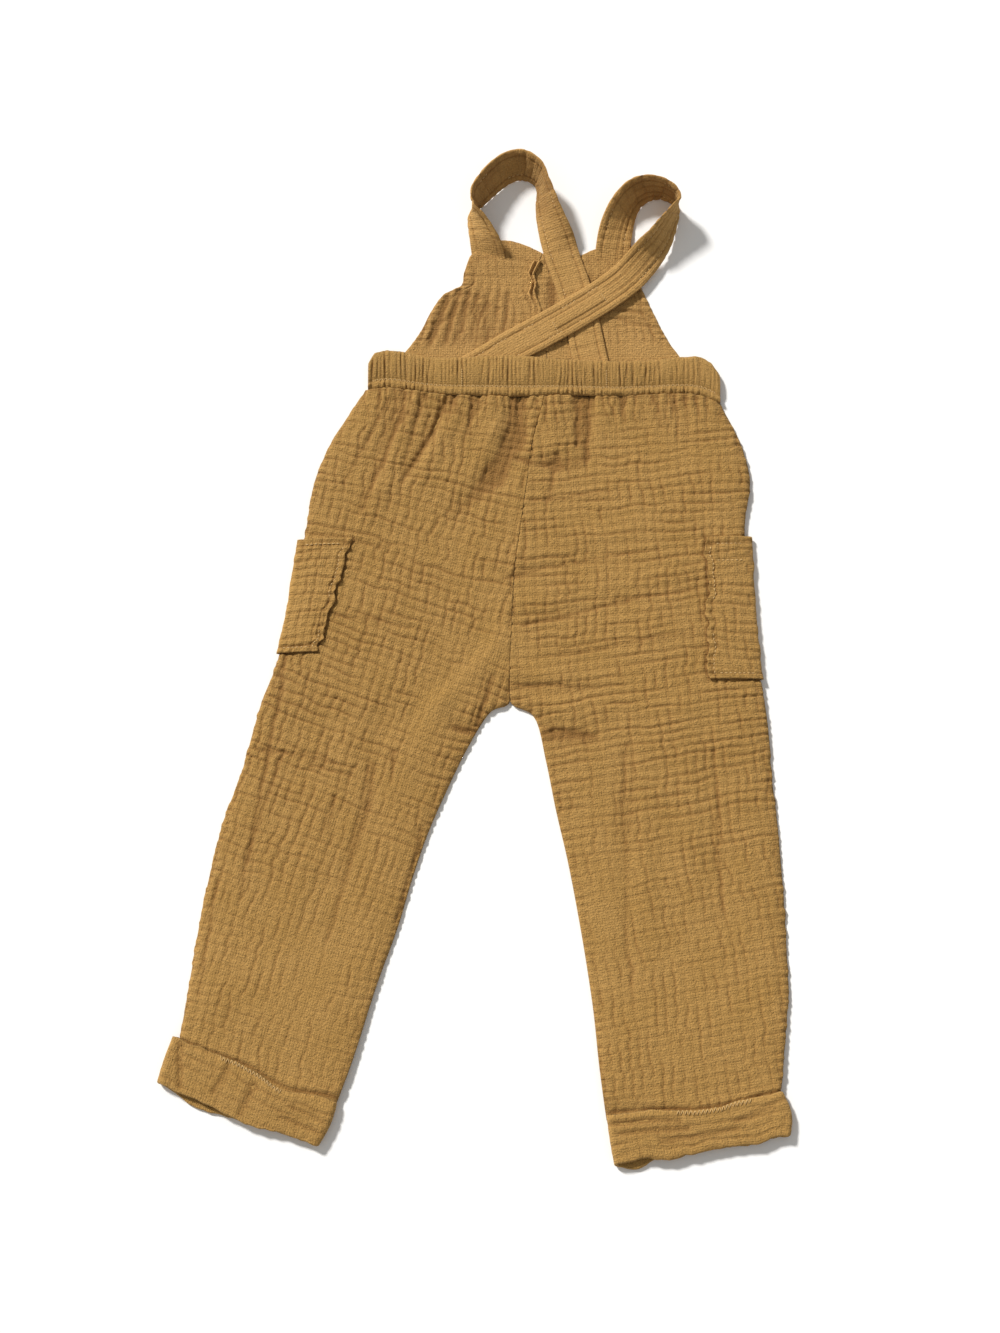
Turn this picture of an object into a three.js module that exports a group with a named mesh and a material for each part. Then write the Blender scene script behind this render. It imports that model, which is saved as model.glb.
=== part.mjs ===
// Kids dungarees in crinkled double gauze, laid flat on a surface with the front down and the back up.
// Millimetres. +Z is up, +Y points from the hems to the shoulder straps, and -X is the wearer's left.
import * as THREE from "three";

// Driving dimensions
const CLOTH = 1.2; // one layer of double gauze
const SEAM = 0.3; // gap left at a seam, and between pieces that lie on each other
const WAIST_GAP = 0.8; // gap of the waist seams, whose edges are curved
const ORIGIN = { x: 0.58, y: 17.15 }; // middle of the laid-out garment in the drawing below
const STRAP = { width: 25, thickness: 2, steps: 44 };
const BACK_BAND = { gathers: 60, steps: 4, thickness: 3.3, swell: 0.75 };
const FRONT_BAND = { height: 25, thickness: 1.5, stations: 22, inset: 1 };
const BAND_CLEAR = 2.5; // how far the front waistband stays below the top of the back one
// The gap between a leg's two panels: at the edges, in the middle, at the waist and at the hem, and the
// most that it may be. A fold that is higher makes the wall thicker, by up to "extra".
const GAP = { edge: 0.5, plateau: 2.3, waist: 2.9, hem: 1.8, hemEdge: 0.8, most: 3.8, extra: 1.5 };
// Shares of a leg's width or length over which the gap grows from the edge, the waist and the hem.
const RAMP = { side: 0.2, inner: 0.24, waist: 0.1, hem: 0.1, crotch: 0.07, hemSeam: 0.16 };
// Where the front panel climbs: rows before and after a pocket, shares beside it, and shares of the length
// at the turn-up.
const CLIMB = { far: 3, near: 0.6, beside: [0.1, 0.44], hem: [0.8, 0.97] };
const PANEL = { front: { columns: 10, rows: 20 }, back: { columns: 14, rows: 30 } };
const POCKET = { lift: 0.45, inset: 0.1, taper: 0.35, turns: 4, rows: 12, over: 5, under: 3 };
const CUFF = { inside: 1.0, seamAbove: 0.1, depth: 29, stations: 12 };
const CROTCH = 7 / 16; // share of the way down a leg's table at which the two legs part
const MUSTARD = 0xa47e49;

/** One array for each named column, from rows of numbers. */
function table(names, ...rows) {
  const columns = {};
  names.split(" ").forEach((name, i) => (columns[name] = rows.map((row) => row[i])));
  return columns;
}

// A leg's panels, from the waist seam down to the hem seam. Front and back share these edges.
const LEFT_LEG = table(
  "outerX outerY innerX innerY",
  [-78.0, 198.5, 50.0, 196.0],
  [-101.0, 163.0, 41.0, 161.0],
  [-113.5, 133.0, 37.0, 131.0],
  [-119.0, 98.0, 32.5, 100.0],
  [-124.5, 62.0, 28.0, 66.0],
  [-131.0, 28.0, 26.5, 32.0],
  [-139.0, -2.0, 25.0, 2.0],
  [-147.5, -24.5, 25.0, -25.0],
  [-154.5, -50.0, 11.0, -33.0],
  [-161.5, -77.0, -4.0, -57.0],
  [-171.5, -105.0, -18.5, -87.0],
  [-178.0, -131.0, -31.5, -117.0],
  [-183.5, -157.0, -42.0, -148.0],
  [-188.0, -183.0, -52.0, -182.0],
  [-191.5, -208.0, -64.5, -217.0],
  [-195.2, -232.0, -78.0, -258.0],
  [-199.4, -253.0, -92.6, -294.2],
);
const RIGHT_LEG = table(
  "outerX outerY innerX innerY",
  [175.5, 190.0, 50.0, 196.0],
  [188.5, 163.0, 41.0, 161.0],
  [195.5, 134.0, 37.0, 131.0],
  [191.0, 104.0, 32.5, 100.0],
  [192.0, 70.0, 28.0, 66.0],
  [194.5, 34.0, 26.5, 32.0],
  [197.5, 2.0, 25.0, 2.0],
  [202.0, -24.5, 25.0, -25.0],
  [204.6, -48.0, 42.0, -36.5],
  [206.0, -77.0, 50.0, -68.0],
  [209.0, -107.0, 56.5, -101.0],
  [211.0, -137.0, 64.0, -134.0],
  [212.5, -167.0, 70.3, -167.0],
  [213.5, -198.0, 76.0, -201.0],
  [213.5, -228.0, 81.0, -236.0],
  [210.5, -258.0, 84.6, -270.0],
  [206.4, -288.6, 89.5, -303.7],
);

// Waistband casing along X: its lower edge, its upper edge and the height of its underside.
const BAND = table(
  "x low top under",
  [-76.5, 201.0, 220.0, 1.8],
  [-72.0, 201.3, 227.8, 1.8],
  [-60.0, 201.5, 229.8, 1.8],
  [-33.0, 198.0, 225.2, 1.9],
  [-14.0, 196.2, 223.8, 4.3],
  [10.0, 195.5, 225.0, 4.3],
  [30.0, 195.0, 225.3, 4.3],
  [62.0, 196.0, 222.6, 4.3],
  [100.0, 195.2, 221.2, 4.1],
  [124.0, 196.6, 222.3, 2.2],
  [150.0, 197.5, 225.0, 1.8],
  [161.0, 196.0, 225.0, 1.8],
  [169.5, 193.0, 220.3, 1.8],
  [175.5, 190.5, 211.5, 1.8],
);

// Section of the casing from its lower edge to its upper one: height over the underside as a share of the
// thickness, and how much of the gathers' waves it shows.
const BAND_SECTION = table(
  "place height wave",
  [0.0, 0.9, 0.1],
  [0.1, 1.15, 0.5],
  [0.26, 0.55, 0.15],
  [0.4, 0.95, 0.9],
  [0.72, 1.05, 1.0],
  [1.0, 0.55, 0.6],
);

// Bib halves, from the front waistband up to the top edge. The inner edge is the centre-front seam.
const LEFT_BIB = table(
  "outerX outerY innerX innerY crown",
  [-55.0, 225.0, 53.0, 221.5, 0],
  [-46.5, 234.0, 50.5, 233.5, 0],
  [-38.5, 246.0, 47.5, 246.0, 0],
  [-32.0, 259.5, 45.5, 259.0, 0],
  [-22.5, 273.0, 44.0, 271.0, 0],
  [-10.0, 280.0, 43.0, 280.0, 1],
  [-8.0, 289.0, 43.5, 289.0, 4],
  [-4.0, 301.5, 49.0, 304.5, 11.5],
);
const RIGHT_BIB = table(
  "outerX outerY innerX innerY crown",
  [150.5, 223.5, 53.0, 221.5, 0],
  [142.8, 232.0, 50.5, 233.5, 0],
  [136.2, 243.0, 47.5, 246.0, 0],
  [130.2, 255.5, 45.5, 259.0, 0],
  [124.4, 268.5, 44.0, 271.0, 0],
  [120.0, 279.0, 43.0, 280.0, 0],
  [116.5, 293.5, 43.5, 289.0, 0],
  [113.0, 310.5, 49.0, 304.5, 0],
);

// Straps, from the back waistband over the shoulder to the bib. A strap stands on its floor edge, the
// raised edge points away from it at the angle "toward" in plan, "lean" is 0 where the strap lies flat.
const LEFT_STRAP = table(
  "floorX floorY toward lean lift",
  [72.5, 211.0, 8, 0, 1.8],
  [68.8, 230.0, 13, 0, 1.7],
  [66.0, 244.0, 15, 0, 1.5],
  [63.0, 259.0, 16, 0, 1.5],
  [58.5, 276.5, 16, 0, 1.5],
  [53.0, 292.5, 16, 0, 1.6],
  [49.2, 305.0, 15, 6, 1.4],
  [46.4, 318.5, 9, 28, 0.2],
  [44.6, 332.0, 4, 46, 0],
  [44.6, 343.0, 5, 60, 0],
  [45.0, 351.5, 20, 71, 0],
  [43.4, 356.6, 46, 69, 0],
  [38.8, 359.8, 66, 62, 0],
  [32.3, 360.8, 86, 52, 0],
  [25.0, 358.0, 99, 48, 0],
  [18.3, 353.0, 119, 53, 0],
  [12.5, 347.5, 136, 59, 0],
  [7.4, 342.5, 154, 65, 0],
  [3.2, 338.8, 180, 76, 0],
  [-0.6, 337.4, 262, 83, 0],
  [-4.2, 335.4, 318, 69, 0],
  [-5.4, 330.5, 335, 52, 0],
  [-4.9, 323.5, 341, 37, 0.2],
  [-4.0, 315.0, 347, 22, 1.0],
  [-2.8, 305.5, 350, 6, 2.4],
  [-1.6, 296.0, 354, 0, 2.6],
);
const RIGHT_STRAP = table(
  "floorX floorY toward lean lift",
  [-1.0, 201.5, 118, 0, 1.8],
  [13.0, 209.5, 118, 0, 1.8],
  [30.5, 220.5, 119, 0, 1.8],
  [51.5, 232.0, 118, 0, 2.7],
  [69.5, 242.0, 119, 0, 3.8],
  [86.0, 252.0, 122, 0, 3.8],
  [104.0, 264.0, 128, 0, 3.8],
  [120.0, 276.8, 132, 4, 3.8],
  [132.2, 291.5, 137, 23, 3.2],
  [140.0, 305.0, 153, 43, 2.0],
  [145.0, 318.5, 168, 56, 0.8],
  [147.9, 330.0, 189, 67, 0],
  [148.3, 337.5, 216, 78, 0],
  [145.5, 341.8, 298, 81, 0],
  [141.2, 344.0, 362, 79, 0],
  [136.2, 346.0, 409, 77, 0],
  [131.0, 346.0, 444, 71, 0],
  [125.8, 344.0, 469, 61, 0],
  [121.0, 340.0, 488, 50, 0],
  [117.6, 334.0, 504, 41, 0],
  [115.6, 327.0, 520, 29, 0.2],
  [113.8, 317.0, 532, 12, 1.0],
  [112.6, 308.0, 536, 3, 1.5],
  [111.6, 299.0, 534, 0, 1.5],
  [110.6, 290.0, 533, 0, 1.5],
);

// Turn-ups: the outer and inner end of the free edge that lies on the leg, then of the fold below it.
// Bells move an edge down the leg: their place across, their width, and how far they reach.
const LEFT_CUFF = {
  outer: [-200.0, -256.8, -209.4, -284.4],
  inner: [-95.0, -297.6, -106.4, -324.0],
  edge: [0.68, 0.17, 6],
  fold: [0.52, 0.3, 4.6],
  peek: [0.25, 0.17, 5.2],
};
const RIGHT_CUFF = {
  outer: [204.8, -292.2, 209.4, -320.0],
  inner: [93.2, -307.4, 98.0, -336.4],
  edge: [0.42, 0.27, 5],
  fold: [0.58, 0.3, 2.8],
  peek: [0.9, 0.1, 5.4],
};

// Soft folds of the back: a ridge, or a trough where the height is negative, along a straight line.
const FOLDS = table(
  "fromX fromY toX toY width head tail",
  [-42, 200, -66, 128, 7, 1.3, 1.0],
  [-52, 198, -74, 130, 5, -1.2, -1.0],
  [-70, 124, -94, 84, 8, 0.9, 0.5],
  [-78, 118, -100, 80, 5, -0.9, -0.4],
  [-8, 198, -38, 138, 7, 1.5, 0.8],
  [-16, 196, -45, 140, 5, -1.7, -0.9],
  [3, 198, -2, 178, 4, -1.4, -0.6],
  [12, 198, 6, 172, 5, 1.0, 0.4],
  [38, 196, 33, 152, 10, -1.5, -1.7],
  [33, 152, 2, 106, 11, -1.7, -0.8],
  [24, 196, 16, 160, 6, 0.9, 1.1],
  [16, 160, -12, 112, 8, 1.1, 0.5],
  [58, 196, 56, 158, 7, 1.3, 0.9],
  [75, 198, 73, 160, 4, -1.5, -1.0],
  [83, 198, 79, 150, 4, -1.4, -0.9],
  [92, 196, 90, 158, 6, 0.9, 0.4],
  [54, 146, 74, 145, 8, -1.3, -0.9],
  [116, 198, 120, 166, 5, -0.9, -0.4],
  [140, 198, 150, 160, 6, -1.0, -0.5],
  [28, 66, 116, 90, 6, -0.5, -0.4],
  [30, 76, 120, 100, 8, 0.6, 0.3],
  [32, 33, 158, 58, 6, -0.5, -0.5],
  [34, 44, 160, 70, 8, 0.5, 0.4],
  [26, -6, 88, -8, 6, 1.3, 0.5],
  [34, -16, 86, -20, 5, -0.9, -0.4],
  [52, -48, 80, -51, 7, -1.6, -1.0],
  [58, -34, 96, -32, 8, 0.9, 0.3],
  [18, 16, -24, -26, 9, 1.4, 1.2],
  [-24, -26, -58, -96, 9, 1.2, 0.4],
  [4, 12, -42, -34, 7, -0.8, -0.5],
  [3, -48, -14, -42, 4, -1.6, -0.8],
  [-60, -30, -98, -150, 9, -0.6, -0.6],
  [-84, -40, -122, -160, 10, 0.6, 0.6],
  [-98, -150, -120, -240, 8, -0.6, -0.3],
  [106, -58, 104, -232, 6, -0.8, -0.6],
  [118, -60, 118, -220, 9, 0.7, 0.5],
  [160, -40, 168, -180, 8, -0.5, -0.5],
  [148, -30, 152, -150, 9, 0.6, 0.3],
);

const mix = (a, b, f) => a + (b - a) * f;
const limit = (v, low, high) => Math.min(Math.max(v, low), high);
const radians = THREE.MathUtils.degToRad;

/** 0 below a, 1 above b, and a smooth step between. */
function smooth(v, a, b) {
  const f = limit((v - a) / (b - a), 0, 1);
  return f * f * (3 - 2 * f);
}

/** Smooth curve through a column's rows at the place "row", which may lie between two rows. */
function through(column, row) {
  const last = column.length - 1;
  const i = limit(Math.floor(row), 0, last - 1);
  const f = limit(row - i, 0, 1);
  const [b, c] = [column[i], column[i + 1]];
  const a = i > 0 ? column[i - 1] : 2 * b - c;
  const d = i + 2 <= last ? column[i + 2] : 2 * c - b;
  return b + 0.5 * f * (c - a + f * (2 * a - 5 * b + 4 * c - d + f * (3 * (b - c) + d - a)));
}

/** Smooth curve through a column at t, which runs from 0 at its first row to 1 at its last. */
const along = (column, t) => through(column, t * (column.length - 1));

/** Value of a column of the waistband's table at the position x. */
function bandAt(name, x) {
  const xs = BAND.x;
  let i = 0;
  while (i < xs.length - 2 && x > xs[i + 1]) i += 1;
  return through(BAND[name], i + limit((x - xs[i]) / (xs[i + 1] - xs[i]), 0, 1));
}

/**
 * Closed body over a row of rings, each with the same number of points. A looped body joins its last
 * ring to its first. Otherwise each end is closed between point i and its partner on the ring's other
 * half, or as a fan round the point "hub".
 */
function body(name, rings, { looped = false, hub = -1 } = {}) {
  const count = rings[0].length;
  const positions = rings.flat(2);
  const faces = [];
  const quad = (a, b, c, d) => faces.push(a, b, c, a, c, d);
  const spans = looped ? rings.length : rings.length - 1;
  for (let r = 0; r < spans; r += 1) {
    const here = r * count;
    const next = ((r + 1) % rings.length) * count;
    for (let i = 0; i < count; i += 1) {
      const j = (i + 1) % count;
      quad(here + i, here + j, next + j, next + i);
    }
  }
  const end = (rings.length - 1) * count;
  if (!looped && hub >= 0) {
    for (let k = 1; k < count - 1; k += 1) {
      const [i, j] = [(hub + k) % count, (hub + k + 1) % count];
      faces.push(hub, j, i, end + hub, end + i, end + j);
    }
  } else if (!looped) {
    for (let i = 0; i < count / 2 - 1; i += 1) {
      const partner = count - 1 - i;
      quad(i, partner, partner - 1, i + 1);
      quad(end + i, end + i + 1, end + partner - 1, end + partner);
    }
  }
  let volume = 0;
  const corner = (k) => new THREE.Vector3(...positions.slice(3 * faces[k], 3 * faces[k] + 3));
  for (let k = 0; k < faces.length; k += 3) volume += corner(k).dot(corner(k + 1).cross(corner(k + 2)));
  if (volume < 0) faces.reverse();
  const geometry = new THREE.BufferGeometry();
  geometry.setAttribute("position", new THREE.Float32BufferAttribute(positions, 3));
  geometry.setIndex(faces);
  geometry.computeVertexNormals();
  const material = new THREE.MeshStandardMaterial({ color: MUSTARD, roughness: 0.92, metalness: 0 });
  const mesh = new THREE.Mesh(geometry, material);
  mesh.name = name;
  return mesh;
}

/** Whole numbers from 0 to n as shares of n. */
const shares = (n) => Array.from({ length: n + 1 }, (_, i) => i / n);

/** Shares from 0 to 1 that lie closer together near both ends. */
const edgeShares = (n) => shares(n).map((s) => s - 0.09 * Math.sin(2 * Math.PI * s));

const LEGS = {
  left: { side: -1, edges: LEFT_LEG, cuff: LEFT_CUFF },
  right: { side: 1, edges: RIGHT_LEG, cuff: RIGHT_CUFF },
};
// Patch pockets: rows of the leg's table at the top and bottom, and the share of the panel's width covered.
LEGS.left.pocket = { top: 3.22, bottom: 5.62, backTop: 0.215, backBottom: 0.165, front: 0.33, bulge: 4 };
LEGS.right.pocket = { top: 3.36, bottom: 6.42, backTop: 0.175, backBottom: 0.195, front: 0.3, bulge: 4 };

/** A bell: its height is reach at the place "at" and falls away over the width. */
const bell = ([at, width, reach], u) => reach * Math.exp(-(((u - at) / width) ** 2));

/** Plan of a leg at u across (0 at the side seam, 1 at the inner edge) and t down. */
function legPlan(leg, u, t) {
  const { outerX, outerY, innerX, innerY } = leg.edges;
  const centre = (along(LEFT_LEG.innerX, t) + along(RIGHT_LEG.innerX, t)) / 2;
  const inner = leg.side * Math.max(leg.side * along(innerX, t), leg.side * centre);
  const x = mix(along(outerX, t), inner, u) + (leg.side * SEAM) / 2;
  const y = mix(along(outerY, t), along(innerY, t), u);
  const toBand = bandAt("low", mix(outerX[0], innerX[0], u)) - WAIST_GAP - mix(outerY[0], innerY[0], u);
  const toHem = bell(leg.cuff.edge, u) * smooth(t, 1 - RAMP.hemSeam, 1);
  return [x, y + toBand * (1 - limit(t / RAMP.waist, 0, 1)) ** 2 - toHem];
}

/** Height of the front panel's underside, which climbs over the pocket and onto the turn-up. */
function frontUnder(leg, u, t) {
  const rows = leg.edges.outerX.length - 1;
  const { top, bottom, front } = leg.pocket;
  const { far, near, beside, hem } = CLIMB;
  const down = smooth(t * rows, top - far, top - near) * (1 - smooth(t * rows, bottom + near, bottom + far));
  const overPocket = down * (1 - smooth(u, front + beside[0], front + beside[1]));
  return (CLOTH + SEAM) * Math.max(overPocket, smooth(t, ...hem));
}

/** Sum of the folds at a point: each is bell-shaped across, and its height runs from head to tail. */
function foldHeight(x, y) {
  let sum = 0;
  for (let k = 0; k < FOLDS.width.length; k += 1) {
    const [dx, dy] = [FOLDS.toX[k] - FOLDS.fromX[k], FOLDS.toY[k] - FOLDS.fromY[k]];
    const [px, py] = [x - FOLDS.fromX[k], y - FOLDS.fromY[k]];
    const s = limit((px * dx + py * dy) / (dx * dx + dy * dy), 0, 1);
    const away = Math.hypot(px - s * dx, py - s * dy) / FOLDS.width[k];
    sum += mix(FOLDS.head[k], FOLDS.tail[k], s) * Math.exp(-away * away);
  }
  return sum;
}

/** Underside and top of a back panel: it swells between its edges, and folds lift or sink it. */
function backHeights(leg, u, t) {
  const [x, y] = legPlan(leg, u, t);
  const atSide = 1 - (1 - limit(u / RAMP.side, 0, 1)) ** 3;
  const atInner = 1 - (1 - limit((1 - u) / RAMP.inner, 0, 1)) ** 3;
  const parted = smooth(t, CROTCH - RAMP.crotch, CROTCH);
  const swell = atSide * mix(1, atInner, parted);
  const waist = 1 - smooth(t, 0, RAMP.waist);
  const hem = smooth(t, 1 - RAMP.hem, 1);
  const rise = mix(mix(GAP.plateau, GAP.waist, waist), GAP.hem, hem);
  const loft = GAP.edge + swell * (rise + (1 - hem) * foldHeight(x, y)) + GAP.hemEdge * hem * (1 - swell);
  const under = frontUnder(leg, u, t) + CLOTH + limit(loft, GAP.edge, GAP.most);
  return [under, under + CLOTH + limit(loft - GAP.most, 0, GAP.extra)];
}

/** A leg panel: each row is a ring over its top face and back along its underside. */
function legPanel(name, leg, { columns, rows }, heights) {
  const across = edgeShares(columns);
  return body(
    name,
    shares(rows).map((t) => {
      const top = across.map((u) => [...legPlan(leg, u, t), heights(leg, u, t)[1]]);
      const under = across.map((u) => [...legPlan(leg, u, t), heights(leg, u, t)[0]]);
      return [...top, ...under.reverse()];
    }),
  );
}

const frontHeights = (leg, u, t) => [frontUnder(leg, u, t), frontUnder(leg, u, t) + CLOTH];

/** A patch pocket that lies on the back panel, wraps the side seam and runs on under the front panel. */
function pocket(name, leg) {
  const { top, bottom, backTop, backBottom, front, bulge } = leg.pocket;
  const rows = leg.edges.outerX.length - 1;
  const turn = shares(POCKET.turns).map((s) => s * Math.PI);
  const rings = shares(POCKET.rows).map((down) => {
    const t = mix(top, bottom, down) / rows;
    const back = shares(POCKET.over).map((s) => (1 - s) * mix(backTop, backBottom, down));
    const [edgeX, edgeY] = legPlan(leg, 0, t);
    const [insideX, insideY] = legPlan(leg, POCKET.inset, t);
    const length = Math.hypot(insideX - edgeX, insideY - edgeY);
    const out = [(edgeX - insideX) / length, (edgeY - insideY) / length];
    const face = (lift, floor, reach) => {
      const high = backHeights(leg, 0, t)[1] + lift;
      const onBack = back.slice(0, -1).map((u) => [...legPlan(leg, u, t), backHeights(leg, u, t)[1] + lift]);
      const round = turn.map((angle) => {
        const away = reach * Math.sin(angle);
        const z = mix(floor, high, 0.5 + 0.5 * Math.cos(angle));
        return [edgeX + out[0] * away, edgeY + out[1] * away, z];
      });
      const below = shares(POCKET.under).slice(1).map((s) => [...legPlan(leg, s * front, t), floor]);
      return [...onBack, ...round, ...below];
    };
    const puff = bulge * mix(1, POCKET.taper, down);
    return [...face(POCKET.lift + CLOTH, 0, puff + CLOTH), ...face(POCKET.lift, CLOTH, puff).reverse()];
  });
  return body(name, rings);
}

/** A turn-up: the profile of a hem folded up on the outside, carried round the flattened leg. */
function cuff(name, leg) {
  const { outer, inner } = leg.cuff;
  const [r0, r1] = [CUFF.inside, CUFF.inside + CLOTH];
  const [r2, r3] = [r1 + SEAM, r1 + SEAM + CLOTH];
  const middle = r3;
  const start = -CUFF.seamAbove + SEAM / CUFF.depth;
  const bend = (r3 - r0) / 2 / CUFF.depth;
  // How far down, as a share of the depth, and how far out: the outside of the inner layer, the rounded
  // fold, the upper layer to its free edge, and back along the inside.
  const profile = [
    [start, r0],
    [0.35, r0],
    [0.8, r0],
    [1 + 0.6 * bend, mix(r0, r3, 0.15)],
    [1 + bend, mix(r0, r3, 0.5)],
    [1 + 0.6 * bend, mix(r0, r3, 0.85)],
    [0.75, r3],
    [0.35, r3],
    [0, r3],
    [0, r2],
    [0.35, r2],
    [0.96, r2],
    [0.96, r1],
    [start, r1],
  ];
  const corner = (edge, down) => [mix(edge[0], edge[2], down), mix(edge[1], edge[3], down)];
  const station = (u, angle, onFront) =>
    profile.map(([down, reach]) => {
      const low = bell(leg.cuff.fold, u) + onFront * bell(leg.cuff.peek, u);
      const sag = mix(bell(leg.cuff.edge, u), low, limit(down, 0, 1));
      const [a, b] = [corner(outer, down), corner(inner, down)];
      const away = reach * Math.sin(angle) * (u > 0.5 ? 1 : -1);
      const length = Math.hypot(b[0] - a[0], b[1] - a[1]);
      const x = mix(a[0], b[0], u) + (away * (b[0] - a[0])) / length;
      const y = mix(a[1], b[1], u) + (away * (b[1] - a[1])) / length - sag;
      return [x, y, middle + reach * Math.cos(angle)];
    });
  const across = shares(CUFF.stations);
  const turn = [0.25, 0.5, 0.75].map((s) => s * Math.PI);
  return body(
    name,
    [
      ...across.map((u) => station(u, 0, 0)),
      ...turn.map((angle) => station(1, angle, 0)),
      ...across.map((u) => station(1 - u, Math.PI, 1)),
      ...turn.map((angle) => station(0, Math.PI - angle, 0)),
    ],
    { looped: true },
  );
}

/** The gathered elastic casing: small waves run across a rolled seam, a stitched groove and a full belly. */
function backWaistband() {
  const [start, end] = [BAND.x[0], BAND.x.at(-1)];
  const stations = shares(BACK_BAND.gathers * BACK_BAND.steps);
  const rings = stations.map((s) => {
    const x = mix(start, end, s);
    const drift = 0.3 * Math.sin(23 * s) + 0.22 * Math.sin(61 * s + 1); // so that no two gathers are alike
    const phase = 2 * Math.PI * (BACK_BAND.gathers * s + drift);
    const uneven = 0.75 + 0.25 * Math.sin(37 * s + 0.5 * Math.sin(90 * s));
    const [low, top, under] = ["low", "top", "under"].map((name) => bandAt(name, x));
    const over = BAND_SECTION.place.map((place, k) => {
      const wave = BACK_BAND.swell * uneven * BAND_SECTION.wave[k] * Math.sin(phase + 0.5 * k);
      return [x, mix(low, top, place), under + BACK_BAND.thickness * BAND_SECTION.height[k] + wave];
    });
    return [...over, [x, top, under], [x, low, under]];
  });
  return body("back_waistband", rings, { hub: BAND_SECTION.place.length + 1 });
}

/** The plain front half of the waistband, flat on the surface under the elastic half. */
function frontWaistband() {
  const [start, end] = [BAND.x[0] + FRONT_BAND.inset, BAND.x.at(-1) - FRONT_BAND.inset];
  const rings = shares(FRONT_BAND.stations).map((s) => {
    const x = mix(start, end, s);
    const low = bandAt("low", x);
    const top = Math.min(low + FRONT_BAND.height, bandAt("top", x) - BAND_CLEAR);
    const thick = FRONT_BAND.thickness;
    return [[x, low, thick], [x, top, thick], [x, top, 0], [x, low, 0]];
  });
  return body("front_waistband", rings);
}

// The bib's gathers run up and down on its left, its puckers run across on its right. Each has a height,
// a pitch and a slant, and fades over ranges of x and y.
const BIB_GATHERS = { height: 0.95, pitch: 7.6, slant: 0.22, at: 260, x: [22, 40], y: [280, 294] };
const BIB_PUCKERS = { height: 0.8, pitch: 8.4, slant: 0.25, x: [104, 122], y: [276, 288] };
const BIB_STILL = { x: [-6, 14], y: [250, 272] }; // no gathers here, under the right strap
const ABOVE_BAND = [226, 240];
const BIB = { rows: 8, leftColumns: 32, rightColumns: 20, footRun: 0.12, crownSkew: 0.85 };
const NOTCH = { depth: 4.5, at: 0.6, width: 0.13, from: 0.85 }; // dip in the right half's top edge
const BIB_SEAM = { steps: 26, from: 0.1, to: 0.94, free: [0.42, 0.56] }; // its upper part stands free

/** Height of the bib's gathers and puckers, which fade under the straps and the waistband. */
function bibGathers(x, y) {
  const { pitch, slant, at } = BIB_GATHERS;
  const still = smooth(x, ...BIB_STILL.x) * (1 - smooth(y, ...BIB_STILL.y));
  const reach = (1 - smooth(x, ...BIB_GATHERS.x)) * (1 - smooth(y, ...BIB_GATHERS.y)) * (1 - still);
  const edge = smooth(x, ...BIB_PUCKERS.x) * (1 - smooth(y, ...BIB_PUCKERS.y));
  const wave = Math.sin((2 * Math.PI * (x + slant * (y - at))) / pitch + 0.8 * Math.sin(0.09 * y));
  const pucker = Math.sin((2 * Math.PI * (y - BIB_PUCKERS.slant * x)) / BIB_PUCKERS.pitch);
  const gathers = BIB_GATHERS.height * reach * (0.5 + 0.5 * wave);
  return smooth(y, ...ABOVE_BAND) * (gathers + BIB_PUCKERS.height * edge * (0.5 + 0.5 * pucker));
}

/** Half of the bib: stations run from its outer edge to the centre seam. */
function bibHalf(name, side, rows, columns) {
  const up = shares(BIB.rows);
  const rings = shares(columns).map((u) => {
    const plan = up.map((t) => {
      const x = mix(along(rows.outerX, t), along(rows.innerX, t), u) + (side * SEAM) / 2;
      const foot = bandAt("low", x) + FRONT_BAND.height;
      const start = Math.min(foot, bandAt("top", x) - BAND_CLEAR) + SEAM;
      const crown = along(rows.crown, t) * Math.sin(Math.PI * u ** BIB.crownSkew);
      const notch = side > 0 ? smooth(t, NOTCH.from, 1) * bell([NOTCH.at, NOTCH.width, NOTCH.depth], u) : 0;
      const y = mix(along(rows.outerY, t), along(rows.innerY, t), u) + crown - notch;
      return [x, mix(y, start, (1 - limit(t / BIB.footRun, 0, 1)) ** 2)];
    });
    const top = plan.map(([x, y]) => [x, y, CLOTH + bibGathers(x, y)]);
    const under = plan.map(([x, y]) => [x, y, 0]);
    return [...top, ...under.reverse()];
  });
  return body(name, rings);
}

/** The centre-front seam allowance, a wavy strip that stands on the inside of the bib. */
function bibCentreSeam() {
  const rings = shares(BIB_SEAM.steps).map((s) => {
    const t = mix(BIB_SEAM.from, BIB_SEAM.to, s);
    const x = along(LEFT_BIB.innerX, t) - 1.5 + 1.1 * Math.sin(17 * s + 2 * s * s);
    const y = along(LEFT_BIB.innerY, t);
    const free = smooth(s, ...BIB_SEAM.free);
    const height = mix(0.7, 2.3 + 0.4 * Math.sin(21 * s), free);
    const half = mix(3.2, 2.6 + 0.5 * Math.sin(13 * s + 1), free);
    const base = CLOTH + SEAM;
    return [
      [x - half, y, base + 0.6 * height],
      [x - 0.5 * half, y, base + height],
      [x + 0.5 * half, y, base + 0.8 * height],
      [x + half, y, base + 0.5 * height],
      [x + half, y, base],
      [x + 0.5 * half, y, base],
      [x - 0.5 * half, y, base],
      [x - half, y, base],
    ];
  });
  return body("bib_centre_seam", rings);
}

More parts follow.
